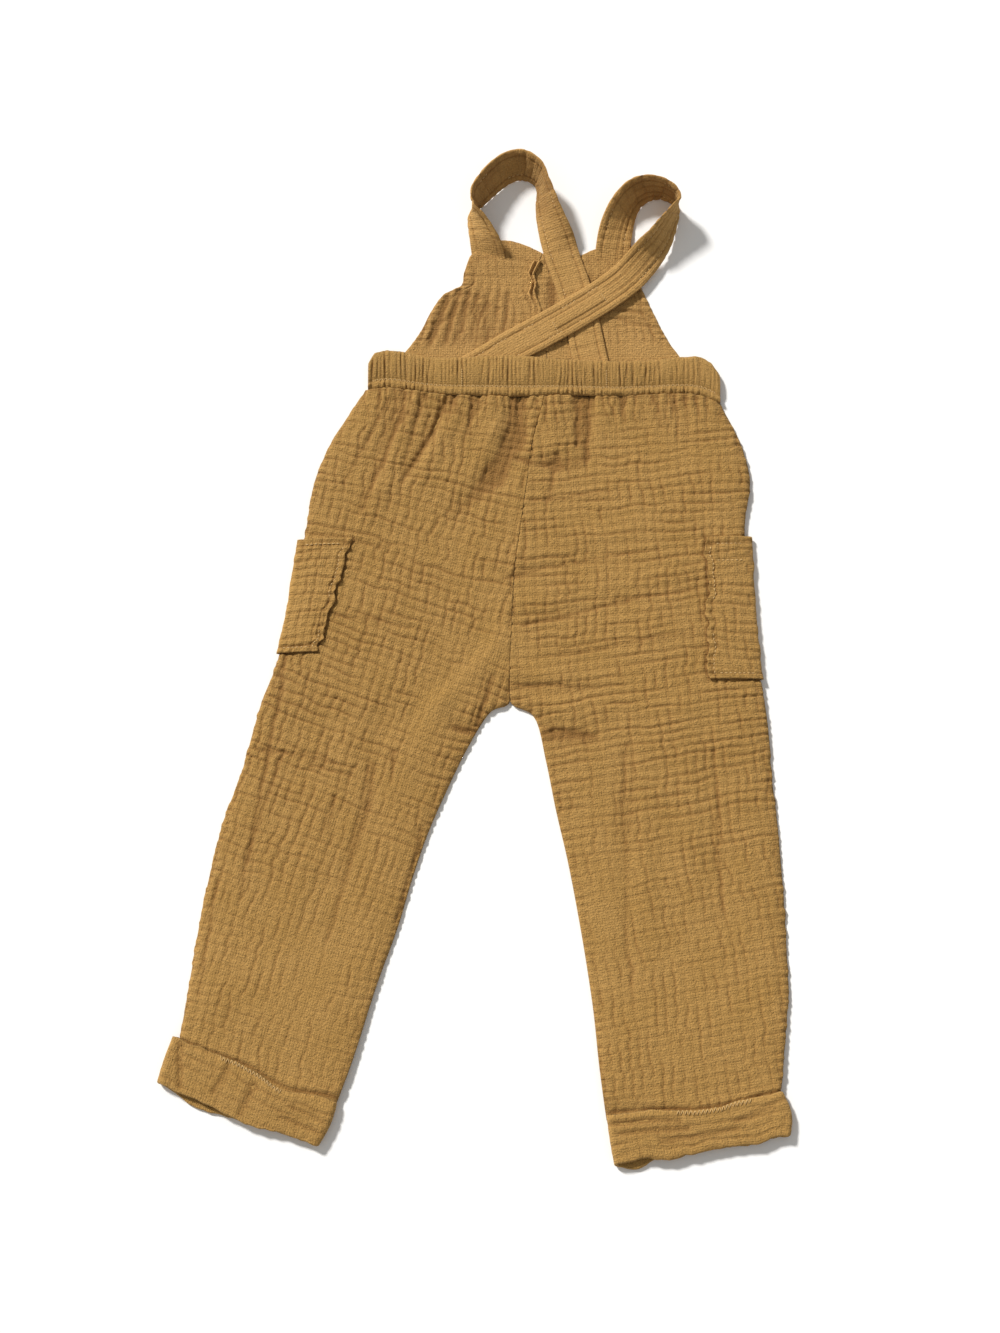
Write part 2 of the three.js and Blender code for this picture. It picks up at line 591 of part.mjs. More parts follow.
/** A strap: a flat folded ribbon that stands on its floor edge and leans by the table's angles. */
function strap(name, rows) {
  const { width, thickness, steps } = STRAP;
  const frame = (s) => {
    const [toward, lean] = [radians(along(rows.toward, s)), radians(along(rows.lean, s))];
    const across = new THREE.Vector3(
      Math.cos(lean) * Math.cos(toward),
      Math.cos(lean) * Math.sin(toward),
      Math.sin(lean),
    );
    const z = Math.max(along(rows.lift, s), 0) + (thickness / 2) * Math.cos(lean);
    return { edge: new THREE.Vector3(along(rows.floorX, s), along(rows.floorY, s), z), across };
  };
  const round = table(
    "place side",
    [0.0, 0.3],
    [0.03, 0.5],
    [0.97, 0.5],
    [1.0, 0.3],
    [1.0, -0.3],
    [0.97, -0.5],
    [0.03, -0.5],
    [0.0, -0.3],
  );
  const rings = shares(steps).map((s) => {
    const { edge, across } = frame(s);
    const middle = (at) => {
      const place = frame(limit(at, 0, 1));
      return place.edge.clone().addScaledVector(place.across, width / 2);
    };
    const forward = middle(s + 0.5 / steps).sub(middle(s - 0.5 / steps));
    const normal = new THREE.Vector3().crossVectors(forward, across).normalize();
    return round.place.map((place, k) => {
      const point = edge.clone().addScaledVector(across, place * width);
      return point.addScaledVector(normal, round.side[k] * thickness).toArray();
    });
  });
  return body(name, rings);
}

const dungarees = new THREE.Group();
dungarees.add(
  legPanel("front_leg_left", LEGS.left, PANEL.front, frontHeights),
  legPanel("front_leg_right", LEGS.right, PANEL.front, frontHeights),
  legPanel("back_leg_left", LEGS.left, PANEL.back, backHeights),
  legPanel("back_leg_right", LEGS.right, PANEL.back, backHeights),
  pocket("pocket_left", LEGS.left),
  pocket("pocket_right", LEGS.right),
  cuff("cuff_left", LEGS.left),
  cuff("cuff_right", LEGS.right),
  frontWaistband(),
  backWaistband(),
  bibHalf("bib_left", -1, LEFT_BIB, BIB.leftColumns),
  bibHalf("bib_right", 1, RIGHT_BIB, BIB.rightColumns),
  bibCentreSeam(),
  strap("strap_left", LEFT_STRAP),
  strap("strap_right", RIGHT_STRAP),
);
dungarees.position.set(-ORIGIN.x, -ORIGIN.y, 0);

export default dungarees;
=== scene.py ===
# %% [markdown]
# # Toddler dungarees in crinkled double gauze
# The dungarees lie on a pale surface with their front down, so that the back shows: two legs, an
# elastic waistband, crossed straps and, above the band, the inside of the bib. This script dresses the
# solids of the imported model. It starts from their frame, in metres, and never moves or resizes a part.

# %% Loading the frame
import math

import bpy
import numpy as np
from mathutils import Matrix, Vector


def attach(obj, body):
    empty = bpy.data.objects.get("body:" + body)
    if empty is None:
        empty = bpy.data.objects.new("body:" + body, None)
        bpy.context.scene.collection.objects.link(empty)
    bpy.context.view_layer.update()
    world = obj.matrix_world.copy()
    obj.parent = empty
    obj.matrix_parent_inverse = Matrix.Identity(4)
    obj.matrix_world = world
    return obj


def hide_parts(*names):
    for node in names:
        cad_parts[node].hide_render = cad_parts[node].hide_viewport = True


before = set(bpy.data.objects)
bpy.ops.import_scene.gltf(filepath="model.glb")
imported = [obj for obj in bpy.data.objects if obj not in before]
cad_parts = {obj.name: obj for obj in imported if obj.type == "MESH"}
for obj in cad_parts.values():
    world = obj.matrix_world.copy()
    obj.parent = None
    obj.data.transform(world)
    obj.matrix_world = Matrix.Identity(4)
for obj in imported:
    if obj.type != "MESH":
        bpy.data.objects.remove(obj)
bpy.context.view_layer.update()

# %% [markdown]
# ## Sizes and tables
# A maker starts from a pattern. Here the pattern is a few short tables with named columns, the same ones
# that the solids were made from: the edges of the legs, the waistband, the bib and the routes of the
# straps. They are in millimetres, in the drawing's own place, and one function moves them to the frame.

# %% Named sizes
MM = 0.001  # metres in a millimetre
ORIGIN = np.array([0.58, 17.15, 0.0])  # middle of the laid-out garment in the drawing
CLOTH = 1.2  # thickness of one double layer of gauze
SEAM = 0.3  # gap at a seam
WAIST_GAP = 0.15  # gap below the waistband
CROTCH = 7 / 16  # share of a leg's length at which the legs part
LEG_LENGTH = 520.0  # from the waist down to the turn-up
HEM_REACH = 6.4  # how far the leg runs on under the turn-up's free edge
CUFF_DEPTH = 29.0  # from the turn-up's free edge down to its fold
POCKET_LIFT = 0.45  # from the leg up to the pocket on it
BAND_THICK = 3.3
BAND_GATHERS = 60
FRONT_BAND_HEIGHT = 25.0
BIB_TOP = CLOTH + 0.35  # height of the bib's surface
STRAP_WIDTH = 25.0
STRAP_THICK = 2.0


def table(names, *rows):
    """One array for each named column, from rows of numbers."""
    return dict(zip(names.split(), np.array(rows, dtype=float).T))


# %% The pattern's tables
LEFT_LEG = table(
    "outer_x outer_y inner_x inner_y",
    [-78, 198.5, 50, 196],
    [-101, 163, 41, 161],
    [-113.5, 133, 37, 131],
    [-119, 98, 32.5, 100],
    [-124.5, 62, 28, 66],
    [-131, 28, 26.5, 32],
    [-139, -2, 25, 2],
    [-147.5, -24.5, 25, -25],
    [-154.5, -50, 11, -33],
    [-161.5, -77, -4, -57],
    [-171.5, -105, -18.5, -87],
    [-178, -131, -31.5, -117],
    [-183.5, -157, -42, -148],
    [-188, -183, -52, -182],
    [-191.5, -208, -64.5, -217],
    [-195.2, -232, -78, -258],
    [-199.4, -253, -92.6, -294.2],
)
RIGHT_LEG = table(
    "outer_x outer_y inner_x inner_y",
    [175.5, 190, 50, 196],
    [188.5, 163, 41, 161],
    [195.5, 134, 37, 131],
    [191, 104, 32.5, 100],
    [192, 70, 28, 66],
    [194.5, 34, 26.5, 32],
    [197.5, 2, 25, 2],
    [202, -24.5, 25, -25],
    [204.6, -48, 42, -36.5],
    [206, -77, 50, -68],
    [209, -107, 56.5, -101],
    [211, -137, 64, -134],
    [212.5, -167, 70.3, -167],
    [213.5, -198, 76, -201],
    [213.5, -228, 81, -236],
    [210.5, -258, 84.6, -270],
    [206.4, -288.6, 89.5, -303.7],
)
BAND = table(
    "x low top under",
    [-76.5, 201, 220, 1.8],
    [-72, 201.3, 227.8, 1.8],
    [-60, 201.5, 229.8, 1.8],
    [-33, 198, 225.2, 1.9],
    [-14, 196.2, 223.8, 4.3],
    [10, 195.5, 225, 4.3],
    [30, 195, 225.3, 4.3],
    [62, 196, 222.6, 4.3],
    [100, 195.2, 221.2, 4.1],
    [124, 196.6, 222.3, 2.2],
    [150, 197.5, 225, 1.8],
    [161, 196, 225, 1.8],
    [169.5, 193, 220.3, 1.8],
    [175.5, 190.5, 211.5, 1.8],
)
LEFT_BIB = table(
    "outer_x outer_y inner_x inner_y crown",
    [-55, 225, 53, 221.5, 0],
    [-46.5, 234, 50.5, 233.5, 0],
    [-38.5, 246, 47.5, 246, 0],
    [-32, 259.5, 45.5, 259, 0],
    [-22.5, 273, 44, 271, 0],
    [-10, 280, 43, 280, 1],
    [-8, 289, 43.5, 289, 4],
    [-4, 301.5, 49, 304.5, 11.5],
)
RIGHT_BIB = table(
    "outer_x outer_y inner_x inner_y crown",
    [150.5, 223.5, 53, 221.5, 0],
    [142.8, 232, 50.5, 233.5, 0],
    [136.2, 243, 47.5, 246, 0],
    [130.2, 255.5, 45.5, 259, 0],
    [124.4, 268.5, 44, 271, 0],
    [120, 279, 43, 280, 0],
    [116.5, 293.5, 43.5, 289, 0],
    [113, 310.5, 49, 304.5, 0],
)
LEFT_STRAP = table(
    "floor_x floor_y toward lean lift",
    [72.5, 211, 8, 0, 1.8],
    [68.8, 230, 13, 0, 1.7],
    [66, 244, 15, 0, 1.5],
    [63, 259, 16, 0, 1.5],
    [58.5, 276.5, 16, 0, 1.5],
    [53, 292.5, 16, 0, 1.6],
    [49.2, 305, 15, 6, 1.4],
    [46.4, 318.5, 9, 28, 0.2],
    [44.6, 332, 4, 46, 0],
    [44.6, 343, 5, 60, 0],
    [45, 351.5, 20, 71, 0],
    [43.4, 356.6, 46, 69, 0],
    [38.8, 359.8, 66, 62, 0],
    [32.3, 360.8, 86, 52, 0],
    [25, 358, 99, 48, 0],
    [18.3, 353, 119, 53, 0],
    [12.5, 347.5, 136, 59, 0],
    [7.4, 342.5, 154, 65, 0],
    [3.2, 338.8, 180, 76, 0],
    [-0.6, 337.4, 262, 83, 0],
    [-4.2, 335.4, 318, 69, 0],
    [-5.4, 330.5, 335, 52, 0],
    [-4.9, 323.5, 341, 37, 0.2],
    [-4, 315, 347, 22, 1],
    [-2.8, 305.5, 350, 6, 2.4],
    [-1.6, 296, 354, 0, 2.6],
)
RIGHT_STRAP = table(
    "floor_x floor_y toward lean lift",
    [-1, 201.5, 118, 0, 1.8],
    [13, 209.5, 118, 0, 1.8],
    [30.5, 220.5, 119, 0, 1.8],
    [51.5, 232, 118, 0, 2.7],
    [69.5, 242, 119, 0, 3.8],
    [86, 252, 122, 0, 3.8],
    [104, 264, 128, 0, 3.8],
    [120, 276.8, 132, 4, 3.8],
    [132.2, 291.5, 137, 23, 3.2],
    [140, 305, 153, 43, 2],
    [145, 318.5, 168, 56, 0.8],
    [147.9, 330, 189, 67, 0],
    [148.3, 337.5, 216, 78, 0],
    [145.5, 341.8, 298, 81, 0],
    [141.2, 344, 362, 79, 0],
    [136.2, 346, 409, 77, 0],
    [131, 346, 444, 71, 0],
    [125.8, 344, 469, 61, 0],
    [121, 340, 488, 50, 0],
    [117.6, 334, 504, 41, 0],
    [115.6, 327, 520, 29, 0.2],
    [113.8, 317, 532, 12, 1],
    [112.6, 308, 536, 3, 1.5],
    [111.6, 299, 534, 0, 1.5],
    [110.6, 290, 533, 0, 1.5],
)
print("tables:", len(LEFT_LEG["outer_x"]), "rows a leg,", len(LEFT_STRAP["lean"]), "rows a strap")

# %% [markdown]
# Each leg also has a turn-up and a patch pocket. A turn-up is two side lines from its free edge to its
# fold, and a few bells (place, width, height) that let those edges hang lower. A pocket's top and bottom
# are rows of the leg's table, and the rest are shares of the leg's width. The middle line says where the
# gauze's lengthways thread runs.

# %% What belongs to each leg
LEGS = {
    "left": {
        "side": -1,
        "edges": LEFT_LEG,
        "middle": np.array([-10.0, -30.0, -58.0, -92.0, -124.0, -150.0]),
        "tilt": 0.0,
        "seed": 3,
        "pocket": {"top": 3.22, "bottom": 5.62, "back_top": 0.215, "back_bottom": 0.165, "front": 0.33},
        "cuff": {
            "outer": np.array([[-200.0, -256.8], [-209.4, -284.4]]),
            "inner": np.array([[-95.0, -297.6], [-106.4, -324.0]]),
            "edge": (0.68, 0.17, 6.0),
            "fold": (0.52, 0.30, 4.6),
            "peek": (0.25, 0.17, 5.2),
            "belly": (0.6, 1.6),
            "overlock": (23, 59),
        },
    },
    "right": {
        "side": 1,
        "edges": RIGHT_LEG,
        "middle": np.array([100.0, 104.0, 108.0, 118.0, 132.0, 146.0]),
        "tilt": -0.035,
        "seed": 11,
        "pocket": {"top": 3.36, "bottom": 6.42, "back_top": 0.175, "back_bottom": 0.195, "front": 0.30},
        "cuff": {
            "outer": np.array([[204.8, -292.2], [209.4, -320.0]]),
            "inner": np.array([[93.2, -307.4], [98.0, -336.4]]),
            "edge": (0.42, 0.27, 5.0),
            "fold": (0.58, 0.30, 2.8),
            "peek": (0.90, 0.10, 5.4),
            "belly": (3.2, 0.4),
            "overlock": (13, 53),
        },
    },
}
for side, leg in LEGS.items():
    print(side, "leg: pocket from row", leg["pocket"]["top"], "to row", leg["pocket"]["bottom"])

# %% [markdown]
# ## Curves and noise
# Cloth has no straight lines. A table's rows are joined by a smooth curve that passes through each of
# them, and everything uneven comes from one seeded noise, so that the result is the same each time.


# %% Small helpers
def mix(a, b, f):
    """a where f is 0, b where f is 1, and a straight line between."""
    return a + (b - a) * f


def smooth(v, a, b):
    """0 below a, 1 above b, and a smooth step between."""
    f = np.clip((v - a) / (b - a), 0, 1)
    return f * f * (3 - 2 * f)


def bell(v, place, width, height=1.0):
    """A bell: height at its place, and about a third of that one width away."""
    return height * np.exp(-(((v - place) / width) ** 2))


def wave(v):
    """A wave from -1 to 1 with one crest for each whole number."""
    return np.sin(2 * np.pi * v)


def stacked(*parts):
    """Grids of one number each put together as columns, after they are stretched to one shape."""
    return np.stack(np.broadcast_arrays(*parts), axis=-1)


def shares(rows, columns):
    """Two grids of shares from 0 to 1: the first grows from row to row, the second across."""
    return np.meshgrid(np.linspace(0, 1, rows + 1), np.linspace(0, 1, columns + 1), indexing="ij")


def through(column, row):
    """Smooth curve through a column's rows at the place row: the uniform Catmull-Rom cubic."""
    last = len(column) - 1
    row = np.asarray(row, dtype=float)
    i = np.clip(np.floor(row).astype(int), 0, last - 1)
    f = np.clip(row - i, 0, 1)
    b, c = column[i], column[i + 1]
    a = np.where(i > 0, column[np.maximum(i - 1, 0)], 2 * b - c)
    d = np.where(i + 2 <= last, column[np.minimum(i + 2, last)], 2 * c - b)
    return b + 0.5 * f * (c - a + f * (2 * a - 5 * b + 4 * c - d + f * (3 * (b - c) + d - a)))


def along(column, t):
    """The curve through a column at t, from 0 at its first row to 1 at its last."""
    return through(column, np.asarray(t) * (len(column) - 1))


def width_at(edges, t):
    """Distance in x between a panel's outer and inner edge at t."""
    return np.abs(along(edges["inner_x"], t) - along(edges["outer_x"], t))


def band_at(name, x):
    """A column of the waistband's table at the place x: the row is found from x, then the curve is read."""
    rows = np.interp(x, BAND["x"], np.arange(len(BAND["x"])))
    return through(BAND[name], rows)


LATTICE = np.random.default_rng(20).uniform(-1, 1, (128, 128))


def noise(x, y, seed=0):
    """Smooth noise from -1 to 1: random values on a unit lattice, blended by smooth steps."""
    x, y = np.broadcast_arrays(np.asarray(x, dtype=float), np.asarray(y, dtype=float))
    x, y = x + 17.3 * seed, y - 9.1 * seed
    i, j = np.floor(x).astype(int), np.floor(y).astype(int)
    fx, fy = smooth(x - i, 0, 1), smooth(y - j, 0, 1)
    i, j, ii, jj = i % 128, j % 128, (i + 1) % 128, (j + 1) % 128
    low = mix(LATTICE[i, j], LATTICE[ii, j], fx)
    high = mix(LATTICE[i, jj], LATTICE[ii, jj], fx)
    return mix(low, high, fy)


print("noise at a few places:", np.round(noise(np.arange(4) * 0.7, 0.2), 2))

# %% [markdown]
# ## The crinkle of double gauze
# Double gauze is two thin open weaves tacked together at small points. Washing shrinks them unevenly, so
# the cloth puffs up between the tacking lines into small pillows, about 6 mm across. The lines run with
# and across the grain, but they wander, fade and come back. The function below draws two families of
# wandering lines. Where a line is strong, the cloth dips sharply, and between the lines it swells. It
# also returns how deep in a crease each point is, which the material uses to paint shade there.


# %% Crinkle
def crinkle(s, t, seed, across=7.2, down=6.3, cross=1.0, lengthways=1.0):
    """Height in mm (about -1.5 to 1.2) and painted shade (0 to 1) at cloth coordinates s, t in mm.

    Long wavy lines (b) run across the grain, and between each two of them short lines (a) run along it.
    A line is where a warped coordinate is a whole number. From it the cloth rises as a cusp,
    exp(-distance), and goes on into a dome, so it is a sharp fold between two round pillows. How strong
    a line is comes from a slow noise along it.
    """
    b = t / down + 0.50 * noise(s / 62, t / 44, seed + 2) + 0.24 * noise(s / 13, t / 12, seed + 3)
    a = s / across + 0.45 * noise(s / 46, t / 70, seed) + 0.20 * noise(s / 12, t / 10, seed + 1)
    a = a + 0.20 * noise(1.7 * np.floor(b), s / 40, seed + 9)
    line_a, line_b = np.floor(a + 0.5), np.floor(b + 0.5)
    strength_b = noise(s / 24 + 4.1 * line_b, 0.61 * line_b, seed + 5)
    strength_a = noise(t / 12 + 5.3 * line_a, 0.77 * line_a, seed + 4)
    strong_b = cross * (0.34 + 0.66 * smooth(strength_b, -0.5, 0.6))
    strong_a = lengthways * (0.30 + 0.60 * smooth(strength_a, -0.4, 0.6))
    share_a, share_b = 2 * np.abs(a - line_a), 2 * np.abs(b - line_b)
    away_a, away_b = share_a * across / 2, share_b * down / 2
    # Painted shade: how far into a crease each point lies, which darkens the colour there.
    painted_shade = np.maximum(strong_a * np.exp(-away_a / 0.75), strong_b * np.exp(-away_b / 0.75))
    fold = 0.75 * strong_a * np.exp(-away_a / 0.9) + 0.85 * strong_b * np.exp(-away_b / 0.9)
    dome = strong_a * (1 - (1 - share_a) ** 2) + strong_b * (1 - (1 - share_b) ** 2)
    lumps = 0.12 * noise(s / 5.2, t / 4.6, seed + 6) + 0.10 * noise(s / 2.4, t / 2.2, seed + 7)
    return lumps - 0.15 + 0.50 * dome - fold, painted_shade


sample = crinkle(*np.meshgrid(np.arange(0, 100, 1.0), np.arange(0, 100, 1.0)), 3)
print("crinkle heights:", np.round(sample[0].min(), 2), "to", np.round(sample[0].max(), 2), "mm")

# %% [markdown]
# ## Putting a surface into a mesh
# A panel is one grid of points for the face that shows, a coarser grid for the hidden face, and a rim
# that joins the two. The rim's faces have more corners on the fine side, so nothing is left open. A
# strap or a casing is a row of rings instead. Both carry a UV map in millimetres of cloth, so that a
# weave can follow the cloth, and an attribute that says how much shade is painted on each point.


# %% Mesh builders
def grid_faces(index):
    """Quads between neighbouring points of a grid of vertex numbers."""
    a, b, c, d = index[:-1, :-1], index[1:, :-1], index[1:, 1:], index[:-1, 1:]
    return np.stack([a, b, c, d], axis=-1).reshape(-1, 4)


def signed_volume(points, faces):
    """Six times the volume inside quads or longer faces, each cut into a fan of triangles."""
    total = 0.0
    for k in range(1, faces.shape[1] - 1):
        a, b, c = points[faces[:, 0]], points[faces[:, k]], points[faces[:, k + 1]]
        total += np.einsum("ij,ij->i", a, np.cross(b, c)).sum()
    return total


def make_piece(name, points, face_sets, cloth, painted_shade, material, replaces=True):
    """A mesh object from points in mm of the drawing: turned outwards, smooth, with UV map and painted_shade.

    It replaces the solid of its name, or is an extra piece where replaces is False.
    """
    points = (points.reshape(-1, 3) - ORIGIN) * MM
    if sum(signed_volume(points, faces) for faces in face_sets) < 0:
        face_sets = [faces[:, ::-1] for faces in face_sets]
    mesh = bpy.data.meshes.new(f"{name}_cloth" if replaces else name)
    mesh.from_pydata(points, [], [face for faces in face_sets for face in faces.tolist()])
    mesh.polygons.foreach_set("use_smooth", np.ones(len(mesh.polygons), dtype=bool))
    corners = np.empty(len(mesh.loops), dtype=np.int32)
    mesh.loops.foreach_get("vertex_index", corners)
    layer = mesh.uv_layers.new(name="cloth")
    layer.data.foreach_set("uv", cloth.reshape(-1, 2)[corners].astype(np.float32).ravel())
    # Painted shade: a share from 0 to 1 that darkens the cloth's colour, most in the creases.
    shade = mesh.attributes.new("painted_shade", "FLOAT", "POINT")
    shade.data.foreach_set("value", np.clip(painted_shade, 0, 1).astype(np.float32).ravel())
    mesh.materials.append(material)
    mesh.update()
    piece = bpy.data.objects.new(mesh.name, mesh)
    bpy.context.scene.collection.objects.link(piece)
    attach(piece, "root")
    if replaces:
        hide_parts(name)
    print(f"{name}:", sum(len(faces) * (faces.shape[1] - 2) for faces in face_sets), "triangles")
    return piece


def shell(name, face, back, every, cloth, painted_shade, material):
    """A thin panel: face is the fine grid, back the hidden one with a point for every n-th of face.

    The rim runs round the four borders. Each of its faces has every + 1 fine corners and 2 coarse ones.
    """
    fine = np.arange(face[..., 0].size).reshape(face.shape[:2])
    coarse = fine.size + np.arange(back[..., 0].size).reshape(back.shape[:2])
    borders = [
        (fine[:, 0], coarse[:, 0]),
        (fine[-1], coarse[-1]),
        (fine[::-1, -1], coarse[::-1, -1]),
        (fine[0, ::-1], coarse[0, ::-1]),
    ]
    rims = []
    for near, far in borders:
        start = np.arange(len(far) - 1)
        steps = start[:, None] * every + np.arange(every, -1, -1)[None, :]
        rims.append(np.column_stack([near[steps], far[start], far[start + 1]]))
    faces = [grid_faces(fine), grid_faces(coarse)[:, ::-1], np.concatenate(rims)]
    points = np.concatenate([face.reshape(-1, 3), back.reshape(-1, 3)])
    cloth = np.concatenate([cloth.reshape(-1, 2), cloth[::every, ::every].reshape(-1, 2)])
    painted_shade = np.concatenate([painted_shade.ravel(), np.zeros(coarse.size)])
    return make_piece(name, points, faces, cloth, painted_shade, material)


def ringed(name, rings, cloth, painted_shade, material, looped=False):
    """A closed skin over a row of rings. Open ends are closed between a ring's two mirrored halves."""
    count, around = rings.shape[:2]
    index = np.arange(count * around).reshape(count, around)
    index = np.column_stack([index, index[:, 0]])
    if looped:
        index = np.vstack([index, index[:1]])
    faces = [grid_faces(index)]
    if not looped:
        i = np.arange(around // 2 - 1)
        first = np.stack([i, i + 1, around - 2 - i, around - 1 - i], axis=-1)
        faces = faces + [first, (count - 1) * around + first[:, ::-1]]
    return make_piece(name, rings, faces, cloth, painted_shade, material)


# %% [markdown]
# ## Colours and cloth
# The cloth is cotton double gauze, dyed in the piece. It has no gloss: light comes back evenly, with a
# faint bright fuzz where the cloth turns away, which is what sheen is for. Shade in the creases is painted
# into the colour: the painted_shade attribute pulls it towards a deeper, redder brown there.
# The bib shows its inside and the straps are pressed flat, with a shorter fuzz. Both get paler copies of
# the cloth, painted light that lifts them where they come out darker under this light.


# %% Material helpers
def linear(code):
    """sRGB hex to a linear RGBA colour."""
    values = [int(code[i : i + 2], 16) / 255 for i in (1, 3, 5)]
    return [v / 12.92 if v <= 0.04045 else ((v + 0.055) / 1.055) ** 2.4 for v in values] + [1.0]


def set_inputs(tree, node, values):
    """Gives each named input its value, or a link where the value is another node's output."""
    for key, value in values.items():
        if isinstance(value, bpy.types.NodeSocket):
            tree.links.new(node.inputs[key], value)
        else:
            node.inputs[key].default_value = value
    return node


def add(tree, kind, values, **settings):
    """A new node with its settings and the values of its inputs."""
    node = tree.nodes.new(kind)
    for key, value in settings.items():
        setattr(node, key, value)
    return set_inputs(tree, node, values)


def new_material(name):
    """A node material with only a Principled shader and an output: the material, its tree and shader."""
    material = bpy.data.materials.new(name)
    material.use_nodes = True
    tree = material.node_tree
    tree.nodes.clear()
    shader = add(tree, "ShaderNodeBsdfPrincipled", {})
    add(tree, "ShaderNodeOutputMaterial", {"Surface": shader.outputs["BSDF"]})
    return material, tree, shader


# %% Double gauze
# Painted shade: the colour that the shaded creases are pulled towards.
CREASE_SHADE_COLOUR = "#72461a"  # at the bottom of a crease
CREASE_PULL = 0.62  # how far a full valley pulls the colour there
DRIFT = 28.0  # mm over which the dye drifts
FLECK = 1.3  # mm across a fleck of thicker yarn
FUZZ = 1.8  # mm across a tuft of fuzz
WEAVE = 1.7  # mm from thread to thread as drawn, twice the real one, which is too fine to show
WEAVE_DEPTH = 0.06  # mm


def double_gauze(name, light, deep, fuzz_depth):
    """Matt cotton gauze: dye between light and deep, painted shade in the creases, a grid of threads and a
    short fuzz.
    """
    material, tree, shader = new_material(name)
    cloth = add(tree, "ShaderNodeUVMap", {}, uv_map="cloth").outputs["UV"]
    painted_shade = add(tree, "ShaderNodeAttribute", {}, attribute_name="painted_shade").outputs["Fac"]
    drift = add(tree, "ShaderNodeTexNoise", {"Vector": cloth, "Scale": 1 / DRIFT, "Detail": 3.0})
    dyes = {"Factor": drift.outputs["Fac"], "A": linear(light), "B": linear(deep)}
    dye = add(tree, "ShaderNodeMix", dyes, data_type="RGBA")
    fleck = add(tree, "ShaderNodeTexNoise", {"Vector": cloth, "Scale": 1 / FLECK, "Detail": 2.0})
    tones = {"From Min": 0.25, "From Max": 0.75, "To Min": 0.81, "To Max": 1.19}
    tone = add(tree, "ShaderNodeMapRange", {"Value": fleck.outputs["Fac"], **tones})
    parts = {"Factor": 1.0, "A": dye.outputs["Result"], "B": tone.outputs["Result"]}
    flecked = add(tree, "ShaderNodeMix", parts, data_type="RGBA", blend_type="MULTIPLY")
    # Painted shade: the painted_shade attribute pulls the flecked dye towards the crease shade colour.
    depth = add(tree, "ShaderNodeMath", {0: painted_shade, 1: CREASE_PULL}, operation="MULTIPLY")
    parts = {"Factor": depth.outputs[0], "A": flecked.outputs["Result"], "B": linear(CREASE_SHADE_COLOUR)}
    colour = add(tree, "ShaderNodeMix", parts, data_type="RGBA")
    turns = {0: cloth, "Scale": 2 * math.pi / WEAVE}
    threads = add(tree, "ShaderNodeVectorMath", turns, operation="SCALE")
    split = add(tree, "ShaderNodeSeparateXYZ", {"Vector": threads.outputs["Vector"]})
    warp = add(tree, "ShaderNodeMath", {0: split.outputs["X"]}, operation="SINE")
    weft = add(tree, "ShaderNodeMath", {0: split.outputs["Y"]}, operation="SINE")
    grid = add(tree, "ShaderNodeMath", {0: warp.outputs[0], 1: weft.outputs[0]}, operation="ADD")
    tufts = {"Vector": cloth, "Scale": 1 / FUZZ, "Detail": 4.0, "Roughness": 0.7}
    fuzz = add(tree, "ShaderNodeTexNoise", tufts)
    bump = {"Height": grid.outputs[0], "Strength": 1.0, "Distance": WEAVE_DEPTH * MM}
    woven = add(tree, "ShaderNodeBump", bump)
    bump = {"Height": fuzz.outputs["Fac"], "Strength": 1.0, "Distance": fuzz_depth * MM}
    fuzzy = add(tree, "ShaderNodeBump", {**bump, "Normal": woven.outputs["Normal"]})
    set_inputs(tree, shader, {"Base Color": colour.outputs["Result"], "Normal": fuzzy.outputs["Normal"]})
    set_inputs(tree, shader, {"Roughness": 0.95, "Specular IOR Level": 0.2})
    sheen = {"Sheen Weight": 0.25, "Sheen Roughness": 0.6, "Sheen Tint": linear("#e8cf9c")}
    set_inputs(tree, shader, sheen)
    return material


GAUZE = double_gauze("mustard_double_gauze", "#c09657", "#aa8242", 2.0)
# Painted light: the bib and the straps get paler copies of the cloth, lifting them where they come out darker
# under this light.
BIB_GAUZE = double_gauze("mustard_double_gauze_inside_of_bib_painted_lighter", "#c89c5e", "#b2884b", 2.0)
STRAP_GAUZE = double_gauze("mustard_double_gauze_pressed_strap_painted_lighter", "#c4995d", "#ae8649", 1.2)
print("materials:", GAUZE.name, BIB_GAUZE.name, STRAP_GAUZE.name)


# %% Sewing thread
def sewing_thread():
    """Spun polyester thread, a shade lighter than the cloth, with a soft gloss and a twist along it."""
    material, tree, shader = new_material("golden_spun_polyester_thread")
    place = add(tree, "ShaderNodeTexCoord", {}).outputs["Object"]
    twist = add(tree, "ShaderNodeTexNoise", {"Vector": place, "Scale": 1800.0})
    tones = {"Factor": twist.outputs["Fac"], "A": linear("#e2c489"), "B": linear("#cfa766")}
    tone = add(tree, "ShaderNodeMix", tones, data_type="RGBA")
    set_inputs(tree, shader, {"Base Color": tone.outputs["Result"], "Roughness": 0.6, "Sheen Weight": 0.2})
    return material


THREAD = sewing_thread()
